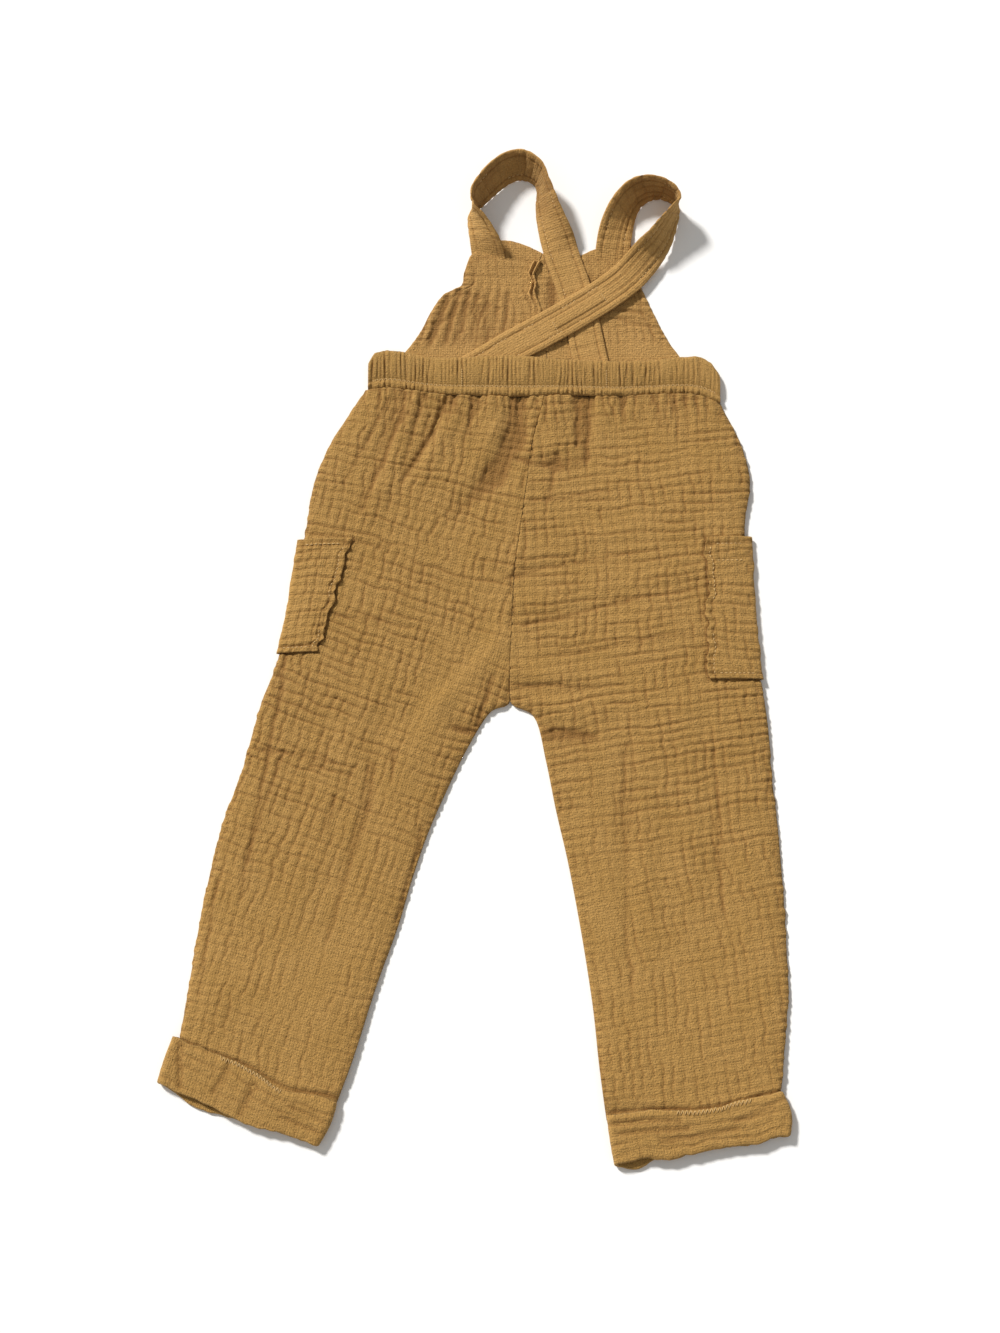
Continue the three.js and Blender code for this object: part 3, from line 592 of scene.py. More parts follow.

# %% [markdown]
# ## Folds
# Below the crinkle lie the larger folds, where the cloth was pushed together as it was laid down. Each
# is a soft trough or ridge along a line, given by where it starts and ends, how wide it is, and
# how high it is at both ends. A negative height is a trough.

# %% The folds of the back
FOLDS = table(
    "from_x from_y to_x to_y width head tail",
    [-42, 200, -66, 128, 7, 1.3, 1.0],
    [-52, 198, -74, 130, 5, -1.2, -1.0],
    [-70, 124, -94, 84, 8, 0.9, 0.5],
    [-78, 118, -100, 80, 5, -0.9, -0.4],
    [-8, 198, -38, 138, 7, 1.5, 0.8],
    [-16, 196, -45, 140, 5, -1.7, -0.9],
    [3, 198, -2, 178, 4, -1.4, -0.6],
    [12, 198, 6, 172, 5, 1.0, 0.4],
    [30, 196, 28, 164, 7, -1.7, -2.1],
    [28, 164, 14, 137, 8, -2.1, -2.1],
    [14, 137, -17, 106, 8, -1.8, -0.6],
    [18, 196, 14, 168, 6, 0.9, 1.1],
    [14, 168, -10, 124, 7, 1.1, 0.5],
    [58, 196, 56, 158, 7, 1.3, 0.9],
    [75, 198, 73, 160, 4, -1.5, -1.0],
    [83, 198, 79, 150, 4, -1.4, -0.9],
    [92, 196, 90, 158, 6, 0.9, 0.4],
    [54, 146, 74, 145, 8, -1.3, -0.9],
    [116, 198, 120, 166, 5, -0.9, -0.4],
    [140, 198, 150, 160, 6, -1.0, -0.5],
    [28, 66, 116, 90, 6, -0.5, -0.4],
    [30, 76, 120, 100, 8, 0.6, 0.3],
    [32, 33, 158, 58, 6, -0.5, -0.5],
    [34, 44, 160, 70, 8, 0.5, 0.4],
    [26, -6, 88, -8, 6, 1.3, 0.5],
    [34, -16, 86, -20, 5, -0.9, -0.4],
    [52, -48, 80, -51, 7, -1.6, -1.0],
    [58, -34, 96, -32, 8, 0.9, 0.3],
    [18, 16, -24, -26, 9, 1.4, 1.2],
    [-24, -26, -58, -96, 9, 1.2, 0.4],
    [4, 12, -42, -34, 7, -0.8, -0.5],
    [3, -48, -14, -42, 4, -1.6, -0.8],
    [-60, -30, -98, -150, 9, -0.6, -0.6],
    [-84, -40, -122, -160, 10, 0.6, 0.6],
    [-98, -150, -120, -240, 8, -0.6, -0.3],
    [-78, -80, -108, -190, 6, 0.9, 0.5],
    [106, -58, 104, -232, 6, -0.6, -0.5],
    [118, -60, 118, -220, 9, 0.7, 0.5],
    [160, -40, 168, -180, 8, -0.5, -0.5],
    [148, -30, 152, -150, 9, 0.6, 0.3],
)


def fold_height(x, y, folds=FOLDS):
    """Sum of the folds: each is a bell across its line, and its height runs from head to tail along it."""
    total = 0.0
    for x0, y0, x1, y1, width, head, tail in zip(*folds.values()):
        dx, dy = x1 - x0, y1 - y0
        s = np.clip(((x - x0) * dx + (y - y0) * dy) / (dx * dx + dy * dy), 0, 1)
        away = np.hypot(x - x0 - s * dx, y - y0 - s * dy)
        total = total + mix(head, tail, s) * bell(away, 0, width)
    return total


print("folds:", len(FOLDS["width"]))

# %% [markdown]
# ## The legs
# A leg of trousers is two panels, front and back, sewn at the side and along the inside. Laid flat, they
# lie on each other and share their outline. The back panel swells a little between its seams, because
# air and the cloth's own springiness hold it up. Its shape is a function of two shares: u runs across
# from the side seam to the inner edge, and t runs down from the waist to the turn-up.


# %% Plan and heights of a leg
def leg_plan(leg, u, t):
    """x and y of a leg's panel: a straight line across, from the outer to the inner edge at t.

    The inner edges meet at the middle of the two tables above the crotch. The top follows the waistband
    and the bottom runs on under the turn-up.
    """
    edges = leg["edges"]
    centre = (along(LEFT_LEG["inner_x"], t) + along(RIGHT_LEG["inner_x"], t)) / 2
    inner = leg["side"] * np.maximum(leg["side"] * along(edges["inner_x"], t), leg["side"] * centre)
    joined = u**8 * (1 - smooth(t, CROTCH - 0.02, CROTCH))
    x = mix(along(edges["outer_x"], t), inner, u) + leg["side"] * mix(SEAM / 2, 0.03, joined)
    y = mix(along(edges["outer_y"], t), along(edges["inner_y"], t), u)
    top_x = mix(edges["outer_x"][0], edges["inner_x"][0], u)
    to_band = band_at("low", top_x) - WAIST_GAP - mix(edges["outer_y"][0], edges["inner_y"][0], u)
    to_hem = bell(u, *leg["cuff"]["edge"]) * smooth(t, 0.84, 1) + HEM_REACH * smooth(t, 0.9, 1)
    return x, y + to_band * (1 - np.clip(t / 0.1, 0, 1)) ** 2 - to_hem


def front_under(leg, u, t):
    """Height of the front panel's underside, which climbs over the pocket and onto the turn-up."""
    row = t * (len(leg["edges"]["outer_x"]) - 1)
    pocket = leg["pocket"]
    down = smooth(row, pocket["top"] - 3, pocket["top"] - 0.6)
    down = down * (1 - smooth(row, pocket["bottom"] + 0.6, pocket["bottom"] + 3))
    over = down * (1 - smooth(u, pocket["front"] + 0.1, pocket["front"] + 0.44))
    return (CLOTH + SEAM) * np.maximum(over, smooth(t, 0.8, 0.97))


def back_top(leg, u, t):
    """Top of the back panel without its crinkle: the gap over the front swells and folds, then cloth."""
    at_side = 1 - (1 - np.clip(u / 0.2, 0, 1)) ** 3
    at_inner = 1 - (1 - np.clip((1 - u) / 0.24, 0, 1)) ** 3
    swell = at_side * mix(1, at_inner, smooth(t, CROTCH - 0.07, CROTCH))
    waist, hem = 1 - smooth(t, 0, 0.1), smooth(t, 0.9, 1)
    rise = mix(mix(2.3, 2.9, waist), 1.3, hem) + (1 - hem) * fold_height(*leg_plan(leg, u, t))
    loft = 0.5 + swell * rise + 0.8 * hem * (1 - swell)
    return front_under(leg, u, t) + 2 * CLOTH + np.clip(loft, 0.5, 3.8) + np.clip(loft - 3.8, 0, 1.5)


def middle_line(leg, y):
    """x of the lengthways thread through the middle of a leg, from rows that are 104 mm apart."""
    return through(leg["middle"], (220 - y) / 104)


def grain(leg, x, y):
    """Cloth coordinates in mm: away from the leg's middle line, and down it, with a small tilt."""
    lean = (middle_line(leg, y + 5) - middle_line(leg, y - 5)) / 10 + leg["tilt"]
    away = x - middle_line(leg, y)
    return away, y + lean * away


# %% [markdown]
# The finer creases are also listed one by one. They are sharp and narrow, and they are what makes a pile of
# small pillows look like a garment that was worn, washed and laid down: the pulls below the elastic, the
# slanting ones over the hips and the long ones down the legs. The last table holds smooth places, where
# the cloth is stretched over a fold: there the height is the share of crinkle that it loses.

# %% The creases of the back
CREASES = table(
    "from_x from_y to_x to_y width head tail",
    [-50, 196, -54, 176, 1.6, -1.3, -1.3],
    [-54, 176, -80, 110, 1.6, -1.3, -0.7],
    [-36, 196, -52, 140, 1.5, -0.9, -0.4],
    [-62, 192, -92, 132, 1.6, -0.7, -0.5],
    [-14, 196, -20, 176, 1.5, -1.0, -0.3],
    [-20, 194, -30, 168, 1.6, -1.2, -1.4],
    [-30, 168, -52, 132, 1.8, -1.4, -0.7],
    [-1, 197, -3, 168, 1.6, -1.3, -0.5],
    [32, 195, 33, 170, 1.5, -1.4, -0.9],
    [58, 152, 53, 120, 2.2, -1.0, -0.6],
    [75, 196, 73, 160, 1.4, -1.1, -0.9],
    [82, 196, 80, 148, 1.4, -1.0, -0.8],
    [128, 194, 133, 172, 1.5, -0.8, -0.3],
    [104, 194, 106, 174, 1.4, -0.7, -0.3],
    [30, 148, 62, 142, 1.8, -0.8, -0.6],
    [22, 62, 70, 74, 1.5, -0.8, -0.5],
    [70, 74, 128, 82, 1.4, -0.6, -0.4],
    [34, 28, 108, 46, 1.5, -0.8, -0.6],
    [108, 46, 160, 54, 1.4, -0.6, -0.3],
    [60, 8, 150, 22, 1.4, -0.5, -0.4],
    [40, 118, 96, 124, 1.4, -0.6, -0.3],
    [-118, 96, -60, 84, 1.4, -0.5, -0.4],
    [-120, 40, -40, 26, 1.4, -0.5, -0.3],
    [-150, -58, -96, -68, 1.5, -0.7, -0.5],
    [-112, -70, -82, -78, 1.5, -0.8, -0.4],
    [3, -48, -14, -43, 1.8, -1.5, -0.8],
    [-131, 8, -141, -58, 1.6, -0.8, -0.9],
    [-141, -58, -160, -160, 1.6, -0.9, -0.5],
    [-70, -72, -73, -98, 2.0, -0.7, -0.7],
    [-73, -98, -100, -190, 2.4, -0.7, -0.4],
    [-55, -60, -57, -82, 1.5, -0.9, -0.4],
    [12, -8, 2, -42, 1.6, -0.9, -1.2],
    [-36, -112, -52, -176, 1.5, -0.6, -0.5],
    [-132, -60, -156, -138, 1.5, -0.6, -0.4],
    [-74, -72, -78, -96, 1.5, -0.9, -0.4],
    [-96, -92, -100, -116, 1.6, -0.8, -0.3],
    [-176, -150, -186, -226, 1.5, -0.6, -0.5],
    [105, -56, 102, -98, 1.6, -0.5, -0.4],
    [102, -98, 106, -150, 1.6, -0.5, -0.3],
    [110, -62, 108, -120, 1.5, -0.4, -0.3],
    [104, -160, 108, -236, 1.6, -0.4, -0.3],
    [166, -60, 170, -170, 1.5, -0.5, -0.5],
    [54, -46, 84, -50, 2.0, -1.2, -0.6],
    [26, -14, 82, -16, 1.8, -0.9, -0.5],
)
CALM = table(
    "from_x from_y to_x to_y width head tail",
    [18, 16, -24, -26, 13, 0.6, 0.7],
    [-24, -26, -58, -96, 12, 0.7, 0.5],
    [18, 190, 14, 150, 7, 0.6, 0.4],
    [-92, -170, -120, -240, 16, 0.4, 0.5],
    [88, -60, 92, -200, 12, 0.4, 0.5],
    [88, 180, 150, 150, 12, 0.3, 0.3],
)
print("creases:", len(CREASES["width"]), "and smooth places:", len(CALM["width"]))


# %% Gathers, puckers and the pocket's reach
def waist_gathers(x, y, seed):
    """Short uneven ripples below the band: warped waves across x that fade over 8 to 24 mm going down."""
    below = np.maximum(band_at("low", np.clip(x, -76, 175)) - y, 0)
    fade = np.exp(-((below / mix(8, 24, 0.5 + 0.5 * noise(x / 9, 3.0, seed))) ** 1.3))
    ripple = wave(x / 6.8 + 0.9 * noise(x / 17, below / 30, seed) + 0.35 * noise(x / 5, below / 14, seed + 1))
    height = fade * (0.6 * ripple + 0.4 * noise(x / 2.6, below / 9, seed + 2))
    # The second value is painted shade in the hollows of the ripples.
    return height, 0.8 * fade * smooth(-ripple, 0.4, 1.0)


def seam_puckers(distance, place, seed, pitch=5.2):
    """Small puckers beside a seam: waves along it that fade over 6 mm, and the shade painted into their
    hollows.
    """
    ripple = wave(place / pitch + 0.3 * noise(place / 9, 0.0, seed))
    fade = bell(distance, 0, 5.5)
    return 0.28 * fade * ripple, fade * smooth(-ripple, 0.2, 1.0) * 0.5


def pocket_reach(leg, down):
    """How far a pocket reaches over the back, as a share of the leg's width. Its edge is wavy."""
    pocket, seed = leg["pocket"], leg["seed"] + 40
    down = np.clip(down, 0, 1)
    wavy = 1 + 0.07 * noise(down * 15, 0.0, seed) + 0.03 * noise(down * 31, 1.0, seed)
    return mix(pocket["back_top"], pocket["back_bottom"], down) * wavy


def at_pocket(leg, u, t):
    """Two shares: what lies under the pocket, and the line that the pocket's edge presses into the leg."""
    pocket = leg["pocket"]
    tall = pocket["bottom"] - pocket["top"]
    down = (t * (len(leg["edges"]["outer_x"]) - 1) - pocket["top"]) / tall
    reach = pocket_reach(leg, down)
    covered = smooth(down, 0.01, 0.05) * (1 - smooth(down, 0.95, 0.99))
    covered = covered * (1 - smooth(u, reach - 0.05, reach - 0.02))
    beside = smooth(down, -0.02, 0.01) * (1 - smooth(down, 0.99, 1.02))
    beside = beside * bell((u - reach) * width_at(leg["edges"], t), 0.5, 1.2)
    below = (1 - smooth(u, reach, reach + 0.02)) * bell((down - 1) * tall, 0, 1 / 22)
    return covered, np.maximum(beside, below)


def at_hem(s, t, seed):
    """Two uneven bells: the groove at the turn-up's free edge, and the ridge of leg cloth above it."""
    above = (1 - t) * LEG_LENGTH - 3.8
    groove = bell(above, 0.7, 1.1) * (0.65 + 0.35 * noise(s / 9, 0.0, seed + 12))
    ridge = bell(above, 4.2, 2.2) * (0.5 + 0.5 * noise(s / 11, 1.0, seed + 13))
    return groove, ridge


# %% The back panels
def back_panel(name, leg):
    """Fine grid over the back panel: plan, swelling, folds, then gathers, creases and the crinkle."""
    t, u = shares(534, 159)
    x, y = leg_plan(leg, u, t)
    s, c = grain(leg, x, y)
    seed, width = leg["seed"], width_at(leg["edges"], t)
    from_side, from_inner = u * width, (1 - u) * width
    parted, lower = smooth(t, CROTCH - 0.03, CROTCH + 0.01), smooth(t, 0.55, 0.85)
    calm = (1 - 0.25 * smooth(t, 0.55, 0.8)) * (1 - np.clip(fold_height(x, y, CALM), 0, 0.75))
    puffs, painted_shade = crinkle(s, c, seed, cross=mix(1.0, 0.6, lower), lengthways=mix(1.15, 1.2, lower))
    gathers, gather_valley = waist_gathers(x, y, seed)
    wander = 1.3 * noise(x / 8, y / 8, seed + 8)
    crease = fold_height(x + wander, y + wander, CREASES)
    side_pucker, side_valley = seam_puckers(from_side, y, seed)
    inner_pucker, inner_valley = seam_puckers(from_inner, y, seed + 1)
    inner_share = mix(0.4, 1, parted)
    covered, beside = at_pocket(leg, u, t)
    groove, ridge = at_hem(s, t, seed)
    seamless = smooth(t, 0, 0.012) * (1 - smooth(t, 0.988, 0.995))
    relief = calm * seamless * puffs + gathers + 1.15 * crease + side_pucker + inner_share * inner_pucker
    relief = mix(relief, -0.3, covered) - 0.5 * beside + 1.1 * ridge - 1.4 * groove
    edge = bell(from_side, 0, 1.5) + mix(0.2, 0.8, parted) * bell(from_inner, 0, 1.3)
    smooth_top = back_top(leg, u, t)
    floor = front_under(leg, u, t) + CLOTH + 0.1
    z = np.maximum(smooth_top + np.clip(relief, -1.6, 1.2) - edge, floor + 0.35)
    outline = 0.55 * noise(y / 4.5, 1.0, seed + 9) + 0.3 * noise(y / 2.1, 2.0, seed)
    face = stacked(x + leg["side"] * outline * np.exp(-from_side / 4), y, z)
    back = face[::3, ::3].copy()
    back[..., 2] = np.maximum(np.minimum(smooth_top - 1.5, z - 0.3), floor)[::3, ::3]
    # Painted shade: darker colour in the crinkle's creases, gathers, seam puckers, sharp creases, fold
    # troughs, beside the pocket's edge and in the groove over the turn-up.
    trough = smooth(-fold_height(x, y), 0.3, 1.6)
    deep = painted_shade * calm + gather_valley + side_valley + inner_share * inner_valley
    deep = deep + 0.9 * np.clip(-crease, 0, 1) + 0.8 * trough + 0.95 * beside + 1.6 * groove
    return shell(name, face, back, 3, stacked(s, c), deep, GAUZE)


back_left = back_panel("back_leg_left", LEGS["left"])
back_right = back_panel("back_leg_right", LEGS["right"])


# %% The front panels
def front_panel(name, leg):
    """The front lies on the surface: its outer face is the fine one, pressed flat, and shows from below."""
    t, u = shares(261, 78)
    x, y = leg_plan(leg, u, t)
    s, c = grain(leg, x, y)
    # Painted shade in the crinkle's creases goes with the panel.
    puffs, painted_shade = crinkle(s, c, leg["seed"] + 20)
    low = front_under(leg, u, t)
    face = stacked(x, y, low + np.clip(0.30 - 0.35 * puffs, 0, 0.55))
    back = face[::3, ::3].copy()
    back[..., 2] = low[::3, ::3] + CLOTH
    return shell(name, face, back, 3, stacked(s, c), painted_shade, GAUZE)


front_left = front_panel("front_leg_left", LEGS["left"])
front_right = front_panel("front_leg_right", LEGS["right"])


# %% [markdown]
# ## Patch pockets
# Each pocket is a patch of the same gauze, sewn over the side seam, so half of it shows and the other
# half lies under the leg. Its section is a long U round the seam. The edge is turned in and topstitched
# 5 mm from the fold, which pulls it into small waves.


# %% Pockets
def pocket_patch(name, leg):
    """Rings down the pocket. Each runs over the back panel, round the side seam and along the underside."""
    pocket, edges, seed = leg["pocket"], leg["edges"], leg["seed"] + 40
    down = np.linspace(0, 1, 106)[:, None]
    t = mix(pocket["top"], pocket["bottom"], down) / (len(edges["outer_x"]) - 1)
    over_u = (1 - np.linspace(0, 1, 46)[None, :-1]) * pocket_reach(leg, down)
    angle = np.linspace(0, np.pi, 14)[None, :]
    under_u = np.linspace(0, 1, 26)[None, 1:] * pocket["front"]
    seam_xy = np.stack(leg_plan(leg, 0 * t, t))
    outward = seam_xy - np.stack(leg_plan(leg, 0 * t + 0.1, t))
    outward = outward / np.hypot(*outward)
    puff, width = 4.0 * mix(1, 0.35, down), width_at(edges, t)
    across = np.concatenate([-over_u * width, puff * angle / 2, under_u * width], axis=1)

    def side(lift, floor, extra):
        """One side of the cloth: lift over the leg, floor under it, and extra further out round the seam."""
        bend = puff + extra + 0.5 * noise(down * 14, 3.0, seed) + 0.25 * noise(down * 31, 4.0, seed)
        over, under = np.stack(leg_plan(leg, over_u, t)), np.stack(leg_plan(leg, under_u, t))
        x, y = np.concatenate([over, seam_xy + outward * bend * np.sin(angle), under], axis=2)
        round_z = mix(floor, back_top(leg, 0 * t, t) + lift, 0.5 + 0.5 * np.cos(angle))
        z = np.concatenate([back_top(leg, over_u, t) + lift, round_z, floor + 0 * under[0]], axis=1)
        return x, y, z

    x, y, z = side(POCKET_LIFT + CLOTH, 0.03, CLOTH)
    inner = stacked(*side(POCKET_LIFT, CLOTH, 0.0))
    relief, painted_shade = crinkle(across, -y, seed, across=6.8, down=6.2)
    from_edge = (over_u[:, :1] - over_u) * width
    from_edge = np.concatenate([from_edge, np.full((106, 39), 99.0)], axis=1)
    from_end = np.minimum(down, 1 - down) * (pocket["bottom"] - pocket["top"]) * 33
    stitched = np.clip(bell(from_edge, 4.6, 0.9) + bell(from_end, 4.6, 0.9), 0, 1)
    ripple = wave(y / 7.4 + 0.45 * noise(y / 11, 0.0, seed)) * bell(from_edge, 0, 6)
    shape = np.clip(0.9 * relief - 0.75 * stitched + 0.45 * ripple, -1.0, 0.7)
    shown = np.concatenate([np.ones(45), np.cos(angle[0] / 2) ** 2, np.zeros(25)])
    outer = stacked(x, y, z + shape * shown)
    # Painted shade in the crinkle's creases and along the stitched groove.
    deep = np.clip(0.8 * painted_shade + 0.55 * stitched, 0, 1)
    rings = np.concatenate([outer, inner[:, ::-1]], axis=1)
    cloth = np.concatenate([stacked(across, -y), stacked(across, -inner[..., 1])[:, ::-1]], axis=1)
    return ringed(name, rings, cloth, np.concatenate([deep, 0 * deep], axis=1), GAUZE), outer


pocket_left, pocket_left_face = pocket_patch("pocket_left", LEGS["left"])
pocket_right, pocket_right_face = pocket_patch("pocket_right", LEGS["right"])

# %% [markdown]
# ## Turn-ups
# The end of each leg is folded up on the outside, once, and its overlocked edge lies on the leg. In
# section it is a hairpin. The hairpin is carried right round the flattened leg, so the fold at the
# bottom is really round, and the lower layer peeks out where it hangs lower than the upper one.

# %% The creases of the turn-ups
LEFT_CUFF_CREASES = table(
    "from_x from_y to_x to_y width head tail",
    [4, 4, 12, 26, 2.0, -0.7, -0.5],
    [38, 4, 34, 22, 1.8, -0.4, -0.5],
    [58, 6, 56, 26, 2.0, -0.7, -0.4],
    [84, 10, 108, 14, 1.6, -0.5, -0.3],
    [82, 19, 108, 22, 1.6, -0.5, -0.4],
)
RIGHT_CUFF_CREASES = table(
    "from_x from_y to_x to_y width head tail",
    [66, 6, 108, 5, 1.8, -0.4, -0.6],
    [62, 12, 106, 12, 1.8, -0.6, -0.4],
    [30, 18, 80, 19, 2.2, -0.4, -0.4],
    [6, 8, 30, 12, 2.0, -0.3, -0.3],
)
INSIDE = 1.0  # from the leg's middle height to the inner face of the turn-up
OUTSIDE = INSIDE + 2 * CLOTH + SEAM


# %% Turn-ups
def hairpin():
    """The section, point by point: share down from the free edge, distance out, and share outside."""
    start, bend = 0.1, (OUTSIDE - INSIDE) / 2 / CUFF_DEPTH
    turn = np.linspace(0, np.pi, 13)[1:-1]
    swing = 0.5 - 0.5 * np.cos(turn)
    up, inner, gap = np.linspace(1, 0, 30), np.linspace(0, 0.95, 8), np.linspace(0.95, start, 8)
    down = np.concatenate([np.linspace(start, 1, 24), 1 + bend * np.sin(turn), up, inner, gap])
    layers = [np.full(30, OUTSIDE), np.full(8, INSIDE + CLOTH + SEAM), np.full(8, INSIDE + CLOTH)]
    reach = np.concatenate([np.full(24, INSIDE), mix(INSIDE, OUTSIDE, swing), *layers])
    return down, reach, np.concatenate([np.zeros(24), swing, np.ones(30), np.zeros(16)])


def turn_up(name, leg, creases):
    """A closed ring of hairpin sections: over the back, round the inner edge, under the front, and back."""
    cuff, seed = leg["cuff"], leg["seed"] + 60
    down, reach, outside = hairpin()
    ends = np.linspace(0, np.pi, 12)[1:-1]
    u = np.concatenate([np.linspace(0, 1, 84), np.ones(10), np.linspace(1, 0, 84), np.zeros(10)])[:, None]
    angle = np.concatenate([np.zeros(84), ends, np.full(84, np.pi), np.pi - ends])[:, None]
    low = bell(u, *cuff["fold"]) + smooth(angle, 0, np.pi) * bell(u, *cuff["peek"])
    sag = mix(bell(u, *cuff["edge"]), low, np.clip(down, 0, 1))
    a, b = (mix(cuff[line][0][:, None], cuff[line][1][:, None], down) for line in ("outer", "inner"))
    length = np.hypot(*(b - a))
    s, depth = np.broadcast_arrays(u * length + (2 * u - 1) * angle * OUTSIDE, down * CUFF_DEPTH)
    relief, painted_shade = crinkle(s, depth, seed, across=7.5, down=6.5, cross=0.9, lengthways=0.6)
    crease = fold_height(u * 110, depth, creases)
    facing = np.maximum(np.cos(angle), 0.2 * (angle < 2))
    lifted = reach + outside * np.clip(0.9 * relief + 2.3 * crease, -1.3, 1.0) * facing
    lifted = lifted - bell(down, 0, 0.02, 0.35) * outside
    belly = np.where(u > 0.5, cuff["belly"][1], -cuff["belly"][0]) * smooth(np.abs(u - 0.5), 0.35, 0.5)
    away = lifted * np.sin(angle) * np.where(u > 0.5, 1, -1) + belly * np.sin(np.pi * np.clip(down, 0, 1))
    x, y = mix(a[:, None], b[:, None], u) + away * ((b - a) / length)[:, None]
    free_edge = outside * bell(down, 0, 0.06)
    y = y - sag + free_edge * (1.3 + 0.9 * noise(s / 8, 0.0, seed) + 0.5 * noise(s / 3.4, 1.0, seed))
    y = y + (1.3 * noise(s / 12, 5.0, seed) + 0.7 * noise(s / 5, 6.0, seed)) * smooth(down, 0.3, 1)
    rings = stacked(x, y, np.maximum(OUTSIDE + lifted * np.cos(angle), 0.02))
    # Painted shade in the crinkle's creases and the turn-up's own creases, on its outside.
    deep = outside * (0.8 * painted_shade + 1.3 * np.clip(-crease, 0, 1))
    return ringed(name, rings, stacked(s, depth), deep, GAUZE, looped=True), rings[:84, 63]


cuff_left, cuff_left_edge = turn_up("cuff_left", LEGS["left"], LEFT_CUFF_CREASES)
cuff_right, cuff_right_edge = turn_up("cuff_right", LEGS["right"], RIGHT_CUFF_CREASES)

# %% [markdown]
# ## The waistband
# The back half is a casing with wide elastic inside. It was stretched when it was sewn, so at rest the
# cloth gathers into about sixty narrow ridges. A zigzag row holds the elastic near the lower edge, and
# below it the seam allowance rolls into a ridge of its own. The front half is plain and lies underneath.

# %% Waistband
BAND_SECTION = table(
    "place height wave",
    [0.00, 0.45, 0.4],
    [0.06, 0.88, 0.9],
    [0.14, 0.95, 0.9],
    [0.21, 0.60, 0.5],
    [0.25, 0.50, 0.3],
    [0.30, 0.76, 0.7],
    [0.45, 1.02, 1.0],
    [0.72, 1.05, 1.0],
    [0.92, 0.80, 0.8],
    [1.00, 0.42, 0.5],
)


def back_band():
    """Rings along x: the section's heights over the underside, with two wandering waves for the gathers."""
    stations, place = np.linspace(0, 1, 721)[:, None], np.linspace(0, 1, 27)[None, :]
    x = mix(BAND["x"][0], BAND["x"][-1], stations)
    low, top, under = (band_at(name, x) for name in ("low", "top", "under"))
    rows = np.interp(place, BAND_SECTION["place"], np.arange(len(BAND_SECTION["place"])))
    height, share = through(BAND_SECTION["height"], rows), through(BAND_SECTION["wave"], rows)
    phase = 0.3 * np.sin(23 * stations) + 0.22 * np.sin(61 * stations + 1)
    phase = phase + 0.3 * noise(x / 3.8, place * 1.6, 5)
    first = 1 - np.abs(np.sin(np.pi * (BAND_GATHERS * stations + phase))) ** 0.8
    phase = 1.37 * BAND_GATHERS * stations + 0.5 * noise(x / 6, place * 1.3, 9)
    second = 1 - np.abs(np.sin(np.pi * phase)) ** 0.7
    pleat = 0.85 * smooth(noise(x / 5.5, place * 1.1, 6), -0.9, 0.5) * first
    pleat = pleat + 0.75 * smooth(noise(x / 7, place * 1.7, 10), -0.9, 0.4) * second
    fine = 0.25 * noise(x / 1.5, place * 4, 7) + 0.2 * noise(x / 3.4, place * 6, 11)
    lumps = 0.75 * noise(x / 2.2, place * 5, 12) + 0.5 * noise(x / 6, 0.0, 13)
    z = under + BAND_THICK * height + 0.45 - share * (1.25 * pleat - fine) + bell(place, 0.12, 0.09) * lumps
    frayed = np.where(place < 0.03, 0.55, 0.3) * ((place > 0.97) | (place < 0.03))
    over = stacked(x, mix(low, top, place) + frayed * noise(x / 2.4, place * 2, 8), z)
    rings = np.concatenate([over, stacked(x, mix(low, top, place[:, ::-1]), under + 0.05)], axis=1)
    cloth = stacked(x * 1.6, place * 30)
    # Painted shade in the hollows between the gathers and along the zigzag's groove.
    deep = share * np.clip(pleat, 0, 1) ** 2 * 0.7 + bell(place, 0.24, 0.025, 0.5)
    cloth, deep = np.concatenate([cloth, cloth[:, ::-1]], axis=1), np.concatenate([deep, 0 * deep], axis=1)
    return ringed("back_waistband", rings, cloth, deep, GAUZE), over


def front_band():
    """The plain half: a flat strip whose outer face shows from below, with a row of stitching."""
    x, place = np.linspace(BAND["x"][0] + 1, BAND["x"][-1] - 1, 241)[:, None], np.linspace(0, 1, 25)[None, :]
    low = band_at("low", x)
    y = mix(low, np.minimum(low + FRONT_BAND_HEIGHT, band_at("top", x) - 2.5), place)
    # Painted shade in the crinkle's creases goes with the strip.
    relief, painted_shade = crinkle(x + 0 * place, y, 70, across=7, down=6.5)
    dent = np.clip(0.25 - 0.3 * relief, 0, 0.5) + bell(np.minimum(place, 1 - place), 0, 0.02, 0.25)
    face = stacked(x, y, dent)
    back = face[::3, ::3].copy()
    back[..., 2] = 1.45
    return shell("front_waistband", face, back, 3, stacked(x, y), painted_shade, GAUZE)


back_waistband, band_face = back_band()
front_waistband = front_band()

# %% [markdown]
# ## The bib
# The bib lies face down, so its inside shows: two halves with a centre-front seam, whose allowance stands
# up as a wavy strip. The outer half near the left strap is drawn up into long creases. Both outer edges
# are bound by narrow hems that pucker.

# %% The bib's halves
BIB_FOLDS = table(
    "from_x from_y to_x to_y width head tail",
    [-20, 268, -32, 236, 2.2, -0.9, -0.5],
    [-13, 266, -22, 232, 2.0, -0.8, -0.7],
    [-6, 266, -13, 230, 2.0, -0.9, -0.6],
    [2, 264, -5, 230, 2.0, -0.7, -0.5],
    [10, 266, 3, 232, 2.2, -0.7, -0.3],
    [17, 262, 12, 238, 2.0, -0.6, -0.3],
    [24, 272, 22, 246, 2.2, -0.5, -0.3],
    [55, 280, 56, 256, 3.0, -1.2, -0.8],
    [90, 284, 94, 276, 2.0, -0.7, -0.4],
    [83, 286, 86, 274, 2.0, -0.6, -0.4],
    [104, 262, 128, 256, 1.8, -0.5, -0.3],
    [104, 254, 130, 248, 1.8, -0.5, -0.3],
    [-14, 274, 6, 270, 2.0, -0.8, -0.4],
    [-30, 250, -16, 256, 1.8, -0.7, -0.3],
)


